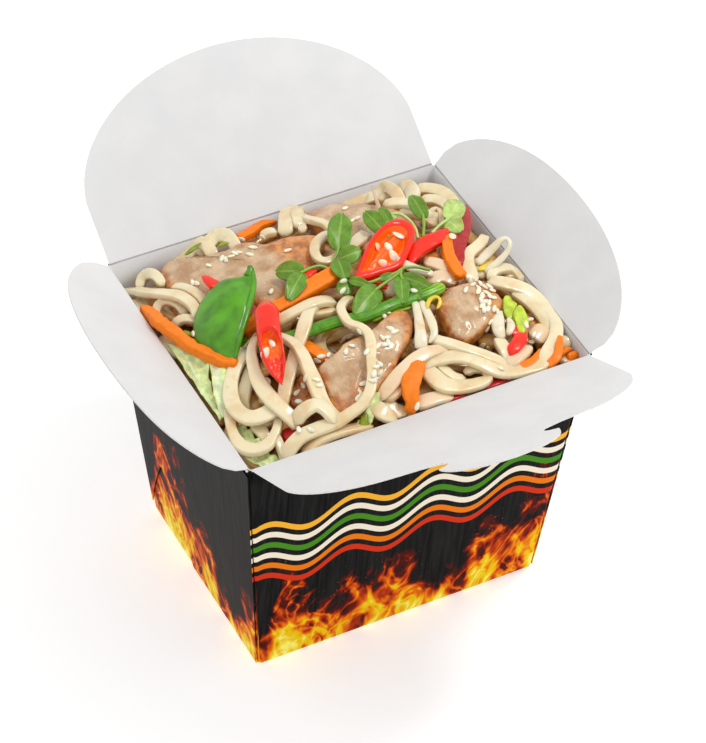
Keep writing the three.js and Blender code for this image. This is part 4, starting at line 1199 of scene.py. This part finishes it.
CARROTS = {
    "carrot_back": (2.4, [(238, 240, 1.6, 3.4), (250, 233, 2, 3.6), (262, 225, 2.2, 3), (275, 220, 2, 1.6)]),
    "carrot_corner": (2, [
        (542, 350, 3.4, 1.8), (535, 360, 3.6, 2.6), (525, 366, 3.4, 2.6), (513, 371, 2.6, 1.6)]),
    "carrot_right": (1.8, [
        (560, 336, 6.8, 1.6), (559, 347, 7, 2.6), (556, 358, 6.6, 2.8), (549, 370, 5.4, 2.4)]),
    "carrot_end": (3, [(570, 352, 3.6, 3.4), (577, 354, 3.8, 4.4), (584, 357, 3, 3.2)]),
    "carrot_long": (4, [
        (346, 269, 4.6, 4.8), (333, 275, 4.8, 5.2), (318, 284, 4.8, 5.2), (302, 294, 4.4, 5),
        (288, 303, 4, 4.6),
        (272, 312, 3.4, 4.4), (257, 322, 2.8, 4), (242, 333, 2, 3.6)]),
    "carrot_front": (2.8, [
        (424, 360, 4, 1.6), (417, 370, 4.4, 5), (411, 382, 4.4, 5.8), (411, 394, 3.8, 5),
        (413, 405, 2.6, 4), (412, 417, 1, 3.8)]),
    "carrot_side": (2.8, [
        (447, 236, 4.2, 3.4), (447, 247, 4.4, 3.6), (449, 257, 4.4, 3.8), (454, 267, 4.2, 4.2),
        (462, 278, 3.6, 4)]),
    "carrot_left": (3.2, [
        (140, 309, 4, 3), (150, 317, 5, 4), (160, 323, 5.4, 4.2), (170, 330, 5.4, 4.2), (180, 338, 5.2, 4),
        (190, 346, 5, 3.8), (200, 351, 4.8, 3.6), (212, 357, 4.4, 3.6), (224, 362, 4, 3.8),
        (238, 364, 3.6, 3.6)]),
    "carrot_middle": (2, [(304, 343, 1.6, 3), (314, 351, 2, 4.4), (327, 359, 1.6, 4)]),
    "carrot_sliver": (1.2, [(560, 355, 3.8, 1.2), (566, 350, 4.2, 1.6), (573, 348, 3.8, 1)]),
}
PEPPERS = {
    "pepper_front_left": (2.4, [(283, 438, -0.6, 5), (294, 433, -0.4, 6), (305, 426, -0.6, 5)]),
    "pepper_front_middle": (2, [(444, 404, 0.4, 2), (455, 400, 0.8, 4), (468, 398, 0.4, 2)]),
    "pepper_front_right": (2, [(486, 392, 1, 2), (495, 386, 1.4, 4), (509, 379, 1, 1.6)]),
    "pepper_strip": (1.8, [
        (467, 205, 5.6, 1.2), (466, 214, 5.4, 3), (465, 225, 5.2, 4.4), (461, 237, 5, 5),
        (458, 248, 4.8, 4.8),
        (459, 258, 4.2, 3.6), (461, 267, 3.4, 1.4)]),
    "pepper_behind": (2, [(253, 305, 3, 1.6), (251, 315, 3, 3.6), (243, 328, 2.4, 2)]),
}
CHILLI_CUTS = {
    "chilli_strip": (2, [(525, 333, 3.4, 2), (520, 340, 4, 4.4), (514, 348, 3.8, 4), (510, 356, 3, 1.6)]),
    "chilli_bit_left": (1.6, [(202, 276, 7.2, 1), (208, 280, 7.2, 3), (217, 287, 6.8, 5)]),
    "chilli_bit_middle": (1.6, [(305, 280, 5.2, 2.4), (309, 274, 5.6, 3.2), (316, 270, 5.2, 2)]),
    "chilli_bit_right": (1.4, [(368, 284, 4.8, 1.4), (378, 283, 5, 2), (387, 288, 4.6, 2.8)]),
    "chilli_crumb": (1.4, [(513, 325, 3.2, 2), (515, 331, 3.4, 2.8), (516, 337, 3, 2)]),
}


CUT_SQUARE = {"carrot": 0.34, "pepper": 0.5, "chilli": 0.5}
CUTS_WITHOUT_SOLID = ("carrot_middle", "carrot_sliver", "pepper_behind", "chilli_crumb")


def add_cut_strips(finishes):
    for finish, rows in (("carrot", CARROTS), ("pepper", PEPPERS), ("chilli", CHILLI_CUTS)):
        for name, (thick, route) in rows.items():
            strip_piece(
                name + "_cut", route, thick, finish, finish, finishes,
                None if name in CUTS_WITHOUT_SOLID else name, CUT_SQUARE[finish],
                seed=len(name), phase=0.15, rough=0.22 if name == "carrot_left" else 0.12)
    add_slab("chilli_wedge_cut", [
        (408, 257, 5.2), (413, 242, 6), (425, 234, 6.6), (440, 228, 6.8), (448, 226, 6.6), (452, 229, 6.4),
        (447, 238, 6), (437, 245, 5.6), (425, 252, 5.2), (412, 263, 4.8),
    ], 3, finishes, 9, slot="chilli", finish="chilli", node="chilli_wedge", rough=0.5)


def add_chilli_long(finishes):
    """Red pod, blunt above, whose lower half is cut open on a hollow with pith and seeds."""
    points = [on_heap(*p) for p in (
        (265, 303, 9.4), (267, 313, 10.2), (268, 326, 10.4), (270, 340, 10.2), (273, 355, 9.6),
        (277, 370, 9), (282, 385, 8))]
    bm = bmesh.new()
    (inside_layer,) = layers(bm, "inside")
    opening, closing = 0.44, 0.95

    def opened(t, angle):
        share = (t - opening) / (closing - opening)
        if not 0 < share < 1:
            return 0.0
        half = 1 - 0.42 * math.sin(math.pi * share) ** 0.4
        return max(0.0, min(1.0, (math.sin(angle) - half) / 0.1))

    def section(t, angle, mm):
        blunt = min(1.0, t / 0.16) ** 0.45 if t < 0.16 else 1.0
        point = 1 - max(0.0, (t - 0.62) / 0.38) ** 2.2
        swell = max(0.04, blunt * max(0.05, point)) * (1 - 0.08 * t)
        out = math.cos(angle) * 3.9 * swell
        rise = math.sin(angle) * 3.3 * swell
        rise += 0.15 * noise.noise(Vector((t * mm / 3, math.cos(angle), math.sin(angle))))
        cut = opened(t, angle)
        pith = 1.5 * max(0.0, 1 - abs(t - 0.6) / 0.1)
        hollow = -0.8 * swell + pith + 0.5 * noise.noise(Vector((t * mm, out, 4)))
        return out * (1 - 0.1 * cut), rise * (1 - cut) + hollow * cut

    def marks(t, angle, place):
        return {inside_layer: opened(t, angle) * (0.4 + 0.6 * (t < 0.7))}

    sweep(bm, points, section, 70, 48, marks)
    finish_piece("chilli_long_pod", bm, [finishes["chilli"]], "root", "chilli", ["chilli_long"])


def add_chilli_ring(finishes):
    """Slanting slice of chilli: red wall all round, orange hollow with a ridge that holds seeds."""
    outline = (
        (354, 280, 6), (357, 271, 6.4), (361, 260, 7), (366, 248, 7.4), (372, 238, 7.8), (380, 229, 8.2),
        (388, 223, 8.4), (397, 220, 8.4), (406, 221, 8.2), (413, 226, 8), (415, 233, 7.6), (413, 243, 7.2),
        (408, 255, 6.6), (401, 267, 6), (391, 272, 5.8), (380, 275, 5.8), (367, 279, 5.8))
    points = [on_heap(*p) for p in outline]
    centre = sum(points, Vector()) / len(points)
    low, high = points[0], points[8]
    spine = (high - low).normalized()
    bm = bmesh.new()
    (inside_layer,) = layers(bm, "inside")
    bmesh.ops.create_uvsphere(bm, u_segments=120, v_segments=60, radius=1)
    wall = 0.74
    for vert in bm.verts:
        flat = min(1.0, math.hypot(vert.co.x, vert.co.y))
        rim = closed_catmull(points, math.atan2(vert.co.y, vert.co.x) / (2 * math.pi))
        out = rim - centre
        if vert.co.z >= 0:
            reach = flat
            place = centre + out * reach
            if reach > wall:
                share = (reach - wall) / (1 - wall)
                height = 1.1 * math.sqrt(max(0.0, 1 - (2 * share - 1) ** 2))
            else:
                offset = out * reach
                beside = (offset - spine * offset.dot(spine)).length
                ridge = math.exp(-((beside - 0.6) / 1.7) ** 2) * (1 - (reach / wall) ** 4)
                height = -2.2 * min(1.0, (wall - reach) / 0.12) + 2.6 * ridge
                height += 0.5 * noise.noise(place / 1.6)
            vert[inside_layer] = 1.0 if reach < wall + 0.02 else 0.0
            place.z += height
        else:
            place = centre + out * flat ** 0.8
            place.z -= 4.2 * math.sqrt(max(0.0, 1 - flat ** 2.2)) + 0.1
            vert[inside_layer] = 0.0
        vert.co = place
    finish_piece("chilli_ring_pod", bm, [finishes["chilli"]], "root", "chilli", ["chilli_ring"])


def add_snow_pea(finishes):
    """Half pod: straight seam on the right, round belly on the left, a short tip above."""
    seam = [on_heap(*p) for p in (
        (251, 269, 9.8), (253, 282, 9.6), (250, 299, 9), (246, 315, 8.4), (241, 331, 7.4),
        (237, 346, 6.2), (234, 359, 5))]
    belly = [on_heap(*p) for p in (
        (248, 270, 9.6), (242, 276, 9.2), (223, 280, 8), (208, 292, 6.6), (198, 308, 5.2), (193, 326, 4.2),
        (196, 343, 3.8), (212, 356, 3.8), (229, 360, 4.4))]
    bm = bmesh.new()
    (inside_layer,) = layers(bm, "inside")
    bmesh.ops.create_grid(bm, x_segments=80, y_segments=28, size=1)
    for vert in bm.verts:
        t = (vert.co.x + 1) / 2
        v = (vert.co.y + 1) / 2
        a, b = catmull(seam, t), catmull(belly, t)
        across = (b - a).length
        hump = Vector((-0.25, -0.3, 0.92)) * (across * 0.15 * math.sin(math.pi * v) ** 0.7)
        peas = 0.5 * math.cos(t * 19 - 0.5) * math.exp(-((v - 0.4) / 0.22) ** 2) * min(1, across / 8)
        place = a.lerp(b, v) + hump + Vector((0, 0, peas))
        place.z += 0.25 * noise.noise(place / 5)
        vert.co = place
        vert[inside_layer] = max(0.0, 1 - v / 0.12) * 0.9
    bmesh.ops.recalc_face_normals(bm, faces=bm.faces)
    if sum(f.normal.z for f in bm.faces) < 0:
        bmesh.ops.reverse_faces(bm, faces=bm.faces[:])
    bmesh.ops.solidify(bm, geom=bm.faces[:], thickness=1.3)

    def section(t, angle, mm):
        radius = 1.0 * (0.7 + 0.3 * math.sin(math.pi * t))
        return math.cos(angle) * radius, math.sin(angle) * radius

    sweep(bm, [p + Vector((0.3, 0, -0.2)) for p in seam], section, 60, 12, lambda t, angle, place: {
        inside_layer: 0.0 if math.sin(angle) > 0.2 else 1.0})
    tip = [on_heap(248, 276, 9.2), on_heap(250, 271, 10), on_heap(250, 266, 10.8)]

    def tip_section(t, angle, mm):
        return math.cos(angle) * (1.5 - 0.7 * t), math.sin(angle) * (1.2 - 0.5 * t)

    sweep(bm, tip, tip_section, 8, 10)
    finish_piece("snow_pea_pod", bm, [finishes["pea"]], "root", "pea", ["snow_pea"])


def add_stalks(finishes):
    points = [on_heap(*p) for p in (
        (236, 350, 1.6), (250, 344, 2.2), (268, 343, 2.6), (284, 339, 3), (300, 334, 3.4),
        (318, 328, 3.8), (336, 322, 4.2),
        (352, 319, 4.6), (366, 316, 4.8), (380, 310, 5.2), (394, 304, 5.4), (408, 300, 5.6),
        (421, 296, 5.8),
        (433, 291, 6.2), (443, 286, 6.2))]
    bm = bmesh.new()
    (inside_layer,) = layers(bm, "inside")

    def section(t, angle, mm):
        ribs = 1 + 0.035 * math.sin(angle * 11)
        end = min(1, 0.6 + min(t, 1 - t) * mm / 3)
        return math.cos(angle) * 2.1 * ribs * end, math.sin(angle) * 1.6 * ribs * end

    sweep(bm, points, section, 90, 44, lambda t, angle, place: {
        inside_layer: min(1.0, (0.42 if math.sin(angle * 11) > 0.6 else 0.1) + max(0.0, t - 0.82) * 2.4)})
    finish_piece("spring_onion_stalk", bm, [finishes["stalk"]], "root", "stalk", ["spring_onion"])
    strip_piece("stalk_leaf", [
        (370, 320, 3.6, 3), (390, 312, 4, 3.4), (408, 306, 4.2, 3.4), (425, 301, 4.4, 3.2),
        (439, 295, 4.4, 2)],
        1.4, "olive", "stalk", finishes, rough=0.08)
    add_slab("onion_cut_upper_leaf", [
        (504, 295, 4.4), (509, 294, 4.8), (513, 299, 5), (518, 303, 5), (515, 310, 4.8), (512, 318, 4.2),
        (505, 315, 3.8),
        (502, 305, 4),
    ], 2.6, finishes, 10, slot="spring_leaf", finish="cut_onion", node="onion_cut_upper", rough=0.4)
    add_slab("onion_cut_lower_leaf", [
        (519, 303, 6), (524, 306, 6.2), (528, 314, 6), (530, 322, 5.6), (526, 331, 5), (522, 336, 4.4),
        (518, 329, 4.6),
        (515, 320, 5.2), (513, 311, 5.6),
    ], 2.4, finishes, 11, slot="spring_leaf", finish="cut_onion", node="onion_cut_lower", rough=0.4)


SPROUTS = {
    "sprout_middle": ("sprout", 1.8, [
        (415, 302, 5.6, 2.4), (418, 315, 5.6, 2.8), (420, 328, 5.4, 3.4), (421, 340, 5, 4.2),
        (421, 350, 3.8, 4)]),
    "sprout_second": ("sprout", 1.6, [
        (421, 301, 5.8, 2), (427, 312, 6, 2.8), (432, 323, 6, 3), (434, 334, 5.6, 2.4),
        (429, 343, 4.8, 1.2)]),
    "onion_pale": ("sprout", 1.6, [
        (398, 258, 4.4, 1.8), (405, 264, 4.6, 3.4), (413, 268, 4.4, 3.8), (423, 271, 4, 3.4),
        (434, 275, 3.4, 2.6)]),
    "curl_right": ("sprout", 1.5, [
        (477, 264, 3.4, 2.6), (487, 254, 6, 3.2), (495, 246, 9, 3), (501, 240, 11.5, 2),
        (507, 239, 12.5, 1.6),
        (510, 244, 12, 1.5), (507, 252, 9.5, 2), (499, 261, 6.5, 2.4), (490, 268, 4.2, 2.4),
        (485, 273, 2.6, 2)]),
    "curl_yellow": ("yellow", 0.8, [
        (427, 309, 6.6, 1), (429, 301, 7.6, 1.5), (434, 297, 8.2, 1.2), (439, 298, 8.2, 1),
        (440, 303, 7.8, 1.3),
        (437, 309, 7, 0.9)]),
    "yellow_bit": ("yellow", 1.2, [(478, 270, 2.8, 1.6), (485, 267, 3.4, 2.6), (493, 261, 3.2, 1.2)]),
    "white_cut_left": ("sprout", 1.8, [
        (501, 311, 3.6, 1.4), (498, 321, 3.8, 4.2), (499, 331, 3.4, 4), (504, 339, 2.4, 2)]),
    "white_cut_right": ("sprout", 1.6, [(508, 318, 3.6, 1.6), (511, 326, 3.8, 2.8), (508, 335, 3, 2.2)]),
    "tan_tail": ("tan", 1, [
        (372, 186, 5.6, 0.7), (376, 199, 7.4, 1.1), (380, 210, 8, 1.5), (385, 219, 8, 1.9),
        (389, 225, 7.4, 1.6)]),
    "tan_thread": ("tan", 0.5, [(257, 332, 6.4, 0.5), (250, 340, 5.4, 0.5), (243, 348, 4.4, 0.5)]),
    "olive_bit_left": ("olive", 0.8, [(185, 255, 5.2, 0.8), (193, 249, 5.4, 1.8), (201, 243, 5.2, 0.7)]),
    "olive_bit_right": ("olive", 0.8, [(218, 247, 5.6, 0.8), (223, 244, 5.8, 1.6), (229, 243, 5.6, 0.9)]),
    "olive_bit_low": ("olive", 1, [(183, 331, 1.6, 1), (189, 334, 2, 2), (197, 337, 1.6, 1)]),
    "olive_bit_front": ("olive", 1.2, [(366, 412, 2.6, 1.4), (364, 424, 2, 3), (372, 430, 1, 2.6)]),
}
SPROUT_NODES = ("sprout_middle", "onion_pale", "curl_right", "curl_yellow")


def add_sprouts(finishes):
    for name, (finish, thick, route) in SPROUTS.items():
        node = name if name in SPROUT_NODES else None
        strip_piece(
            name + "_strand", route, thick, finish, "sprout", finishes, node, 0.85, rough=0.06, sides=12)


# Leaves


def leaf_blade(bm, base, tip, width, up, curl=0.1, fold=0.14, thick=0.35):
    """Broad oval leaf from base to tip. up is roughly the side that shows."""
    along_layer, across_layer = layers(bm, "along", "across")
    first = len(bm.verts)
    first_face = len(bm.faces)
    bmesh.ops.create_grid(bm, x_segments=22, y_segments=14, size=1)
    ahead = tip - base
    length = ahead.length
    ahead.normalize()
    side = ahead.cross(up).normalized()
    rise = side.cross(ahead).normalized()
    for vert in new_verts(bm, first):
        t = (vert.co.x + 1) / 2
        v = vert.co.y
        swell = max(0.05, math.sin(math.pi * min(1.0, 0.02 + 0.96 * t ** 0.82)) ** 0.5)
        place = base + ahead * (length * (t + 0.02 * math.sin(5 * v)))
        place += side * (v * swell * width / 2)
        dome = curl * length * math.sin(math.pi * t) - fold * width * 0.5 * (1 - abs(v) ** 1.4) * swell
        wave = 0.04 * width * math.sin(8 * t + 3 * v) * abs(v)
        vert.co = place + rise * (dome + wave)
        vert[along_layer] = t
        vert[across_layer] = v
    bm.faces.ensure_lookup_table()
    faces = [bm.faces[i] for i in range(first_face, len(bm.faces))]
    bmesh.ops.solidify(bm, geom=faces, thickness=thick)


def leaf_stalk(bm, points, radius=0.5):
    along_layer, across_layer = layers(bm, "along", "across")

    def section(t, angle, mm):
        return math.cos(angle) * radius, math.sin(angle) * radius

    sweep(bm, points, section, 20, 8, lambda t, angle, place: {along_layer: 0.5, across_layer: 0.02})


SHOWN_SIDE = Vector((-0.3, -0.55, 0.78))

# Each sprig: finish, leaves as (base, tip, width), stalks as routes
SPRIGS = {
    "greens_centre": ("young_leaf", [
        ((338, 250, 7.8), (342, 213, 11.4), 7.8), ((339, 259, 8), (361, 250, 8.8), 5.8), ((338, 259, 8),
        (345, 278, 7.2), 6.2),
    ], [[(339, 246, 8.4), (337, 254, 7.6), (334, 260, 6.8), (331, 268, 5.4)]]),
    "greens_left": ("young_leaf", [
        ((304, 271, 6.6), (276, 271, 7.4), 6.6), ((303, 272, 6.6), (288, 299, 6.6), 6.2),
    ], [[(300, 273, 6.6), (311, 268, 6.6), (320, 266, 6.2), (329, 269, 5.4)]]),
    "greens_front": ("young_leaf", [
        ((378, 287, 6.6), (355, 314, 6.4), 7.8), ((349, 279, 6.6), (369, 285, 7), 3), ((353, 284, 5),
        (337, 289, 5), 5.6),
    ], [[(349, 278, 6.4), (366, 283, 6.8), (382, 278, 7), (396, 273, 7),
         (404, 268, 6.8), (416, 267, 6.4), (430, 270, 5.6)],
        [(374, 291, 6.4), (388, 281, 7), (401, 272, 7)]]),
    "greens_right": ("young_leaf", [
        ((401, 276, 7.2), (430, 287, 7.4), 4.8), ((401, 276, 7), (403, 303, 6.8), 5), ((406, 283, 7),
        (421, 299, 7), 4.6),
        ((379, 279, 7.2), (394, 274, 7.2), 2.2),
    ], [[(403, 280, 7.2), (401, 275, 7.2), (401, 270, 7)]]),
    "greens_back": ("young_leaf", [
        ((385, 232, 7), (365, 211, 9.2), 5.8), ((392, 225, 7.8), (380, 207, 9.2), 3.2),
    ], [[(383, 229, 7), (388, 236, 6), (392, 246, 4)]]),
    "greens_behind": ("pale_leaf", [
        ((396, 214, 8.6), (389, 219, 8.4), 2.4),
    ], [[(390, 214, 8.8), (400, 214, 8.8), (409, 220, 8.2), (415, 228, 7.4), (418, 238, 6.4)]]),
    "greens_far": ("young_leaf", [
        ((425, 218, 7.4), (411, 195, 9.6), 5.2),
    ], [[(423, 214, 7.8), (424, 226, 6.6), (423, 237, 5.6)]]),
    "greens_pale": ("pale_leaf", [
        ((449, 220, 7.2), (459, 200, 9.2), 7), ((448, 219, 7.2), (461, 231, 7), 6),
    ], [[(452, 217, 7.2), (441, 224, 6.6), (432, 233, 5.6)]]),
}


def add_greens(finishes):
    for node, (finish, leaves, stalks) in SPRIGS.items():
        bm = bmesh.new()
        for base, tip, width in leaves:
            leaf_blade(bm, on_heap(*base), on_heap(*tip), width, SHOWN_SIDE)
        for route in stalks:
            leaf_stalk(bm, [on_heap(*p) for p in route])
        finish_piece(node + "_leaves", bm, [finishes[finish]], "root", finish, [node])


# Crinkled leaves between two edges of picture points
LETTUCE = {
    "lettuce_left": [
        ([(166, 342, 3), (180, 362, 3.8), (192, 380, 3.6), (204, 397, 3), (220, 420, 1.6)],
         [(197, 351, 4), (207, 360, 3.8), (209, 376, 3.2), (214, 394, 2.6), (224, 416, 0.8)]),
        ([(208, 358, 4), (211, 372, 4.2), (213, 388, 4), (216, 402, 3.2), (222, 418, 1.8)],
         [(220, 358, 3.6), (228, 370, 3.8), (229, 384, 3.4), (228, 398, 2.8), (230, 414, 1.4)]),
    ],
    "lettuce_corner": [
        ([(227, 426, 0.4), (235, 443, 0.6), (246, 459, 0.6), (262, 468, 0.2)],
         [(246, 426, -1.2), (258, 440, -1.2), (270, 452, -0.8), (286, 462, -0.8)]),
    ],
    "lettuce_front": [
        ([(373, 393, 3.4), (369, 405, 3), (363, 417, 2.2), (352, 428, 1)],
         [(380, 395, 3), (378, 407, 2.4), (373, 419, 1.6), (368, 431, 0.4)]),
    ],
}


def add_lettuce(finishes):
    for name, sheets in LETTUCE.items():
        bm = bmesh.new()
        along_layer, across_layer = layers(bm, "along", "across")
        for index, (outer, inner) in enumerate(sheets):
            a_points = [inside_walls(on_heap(*p), 0.8) for p in outer]
            b_points = [inside_walls(on_heap(*p), 0.8) for p in inner]
            first = len(bm.verts)
            first_face = len(bm.faces)
            bmesh.ops.create_grid(bm, x_segments=60, y_segments=22, size=1)
            for vert in new_verts(bm, first):
                t, v = (vert.co.x + 1) / 2, (vert.co.y + 1) / 2
                place = catmull(a_points, t).lerp(catmull(b_points, t), v)
                crinkle = noise.noise(Vector((place.x / 3, place.y / 3.6, 1 + index))) * 1.3
                crinkle += noise.noise(Vector((place.x / 1.2, place.y / 1.4, 5))) * 0.4
                frill = math.sin(t * 30 + v * 3) * 0.5 * v ** 3
                vert.co = inside_walls(place + Vector((0.3 * frill, 0.3 * frill, crinkle + frill)), 0.5)
                vert[along_layer] = t
                vert[across_layer] = (v * 1.6 - 0.5) * (0.25 if index else 1)
            bm.faces.ensure_lookup_table()
            faces = [bm.faces[i] for i in range(first_face, len(bm.faces))]
            bmesh.ops.recalc_face_normals(bm, faces=faces)
            bmesh.ops.solidify(bm, geom=faces, thickness=0.4)
        finish_piece(name + "_leaf", bm, [finishes["lettuce"]], "root", "lettuce", [name])


# Sesame seeds by picture column and row, and the larger chilli seeds
SEEDS = (
    (222, 259), (226, 260), (231, 257), (235, 254), (239, 253), (249, 241), (253, 248), (250, 255),
    (259, 237), (263, 237),
    (288, 251), (193, 283), (197, 284), (241, 239), (209, 266), (353, 221), (357, 219), (345, 209),
    (308, 228),
    (318, 360), (321, 357), (326, 360), (328, 355), (333, 351), (340, 341), (344, 338), (349, 336),
    (352, 346), (355, 332),
    (360, 331), (384, 316), (388, 313), (390, 329), (395, 332), (382, 338), (387, 338), (385, 345),
    (388, 343), (379, 364),
    (376, 367), (380, 373), (374, 374), (373, 381), (413, 342), (417, 339), (363, 384), (361, 394),
    (358, 398), (417, 406),
    (367, 352), (346, 352), (488, 347), (483, 345), (501, 369), (526, 325), (530, 320), (534, 335),
    (531, 342), (299, 430),
    (311, 430), (299, 402), (297, 393), (303, 386), (306, 378), (316, 380), (319, 386),
    (470, 281), (474, 280), (473, 285), (480, 284), (478, 288), (484, 287), (489, 287), (486, 293),
    (482, 296), (489, 296),
    (493, 298), (478, 292), (485, 302), (489, 303), (482, 306), (484, 310), (488, 309), (494, 309),
    (497, 312), (481, 301),
    (490, 322), (487, 328), (466, 290), (492, 291), (414, 291), (343, 291), (194, 334), (343, 281),
    (313, 338), (271, 292),
)
CHILLI_SEEDS = (
    (377, 247, 4), (398, 236, 4), (393, 256, 4.6), (388, 247, 3.4), (382, 263, 3.6), (265, 353, 4),
    (272, 344, 3.2), (452, 237, 4),
)
SEED_LENGTH = 2.7


def add_seeds(finishes, carriers):
    """Seeds lie flat on whatever shows at their place."""
    dice = random.Random(5)
    trees = []
    for piece in carriers:
        bm = bmesh.new()
        bm.from_mesh(piece.data)
        trees.append(BVHTree.FromBMesh(bm))
        bm.free()
    bm = bmesh.new()
    (inside_layer,) = layers(bm, "inside")
    for x, y, length in [(*s, SEED_LENGTH) for s in SEEDS] + list(CHILLI_SEEDS):
        ahead = sight(x, y)
        hits = [tree.ray_cast(EYE * MM, ahead) for tree in trees]
        hits = [h for h in hits if h[0] is not None]
        if not hits:
            continue
        place, normal, _, _ = min(hits, key=lambda h: h[3])
        if normal.dot(ahead) > 0:
            normal = -normal
        seed = bmesh.ops.create_uvsphere(bm, u_segments=14, v_segments=9, radius=1)
        spin = dice.uniform(0, math.pi)
        size = dice.uniform(0.88, 1.12)
        turn = normal.to_track_quat("Z", "Y").to_matrix() @ Matrix.Rotation(spin, 3, "Z")
        turn = turn @ Matrix.Rotation(dice.uniform(-0.25, 0.25), 3, "X")
        broad = 0.62 if length > 3.3 else 0.5
        for vert in seed["verts"]:
            t = vert.co.x
            slim = 0.6 + 0.4 * max(0.0, 0.5 - 0.5 * t) ** 0.6
            across = vert.co.y * broad * length * 0.62 * slim
            local = Vector((t * length / 2, across, vert.co.z * 0.5 * slim)) * size
            vert.co = place / MM + normal * 0.3 + turn @ local
            vert[inside_layer] = 0.5 + 0.5 * t
    finish_piece("sesame_seeds", bm, [finishes["sesame"]], "root", "sprout")


# Floor and light


def add_floor():
    bm = bmesh.new()
    bmesh.ops.create_grid(bm, x_segments=1, y_segments=1, size=3)
    mesh = bpy.data.meshes.new("floor")
    bm.to_mesh(mesh)
    bm.free()
    finish = Finish("floor_white", Roughness=0.9, Specular_IOR_Level=0.0, Emission_Strength=0.5)
    finish.shader.inputs["Emission Color"].default_value = (1, 1, 1, 1)
    finish.colour(rgb(226, 226, 226))
    mesh.materials.append(finish.material)
    floor = bpy.data.objects.new("floor", mesh)
    floor.location = (0, 0, -0.0002)
    bpy.context.scene.collection.objects.link(floor)


def add_light(name, place, target, size, watts, tint=(1, 1, 1)):
    data = bpy.data.lights.new(name, "AREA")
    data.shape = "DISK"
    data.size = size
    data.energy = watts
    data.color = tint
    lamp = bpy.data.objects.new(name, data)
    lamp.location = place
    aim = Vector(target) - Vector(place)
    lamp.rotation_euler = aim.to_track_quat("-Z", "Y").to_euler()
    bpy.context.scene.collection.objects.link(lamp)


def add_studio():
    world = bpy.data.worlds.new("studio")
    world.use_nodes = True
    world.node_tree.nodes["Background"].inputs["Color"].default_value = (1, 1, 1, 1)
    world.node_tree.nodes["Background"].inputs["Strength"].default_value = 0.83
    bpy.context.scene.world = world
    bpy.context.scene.view_settings.view_transform = "Standard"
    add_light("key", (0.6, -0.05, 1.3), (0, 0, 0.08), 0.32, 6.7, (1, 0.99, 0.97))


def dark_underside():
    finish = Finish("dark_print", Roughness=0.45, Specular_IOR_Level=0.1)
    grain = finish.noise(1.2, 4, (1, 0.1, 1))
    finish.colour(finish.mix(finish.span(grain, 0.35, 0.75), rgb(14, 14, 15), rgb(42, 41, 40)))
    finish.bump(grain, 0.03)
    return finish.material


add_camera()
add_floor()
add_studio()
FINISHES = make_finishes()
FINISHES["dark"] = dark_underside()
add_carton(FINISHES)
add_side_layers(FINISHES)
add_flap("flap_front", front_flap_outline(), 1.0, FINISHES)
add_flap("flap_back", back_flap_outline(), 1.6, FINISHES)
add_flap("flap_right", side_flap_outline(), 1.0, FINISHES)
add_flap("flap_left", side_flap_outline(), 1.0, FINISHES)
add_noodles(FINISHES)
add_pork(FINISHES)
add_cut_strips(FINISHES)
add_chilli_long(FINISHES)
add_chilli_ring(FINISHES)
add_snow_pea(FINISHES)
add_stalks(FINISHES)
add_sprouts(FINISHES)
add_greens(FINISHES)
add_lettuce(FINISHES)
SEED_CARRIERS = [
    o for o in bpy.data.objects
    if o.type == "MESH" and o.name.endswith(("_meat", "_pod", "_leaves", "_cut", "_heap", "_leaf"))
]
add_seeds(FINISHES, SEED_CARRIERS)
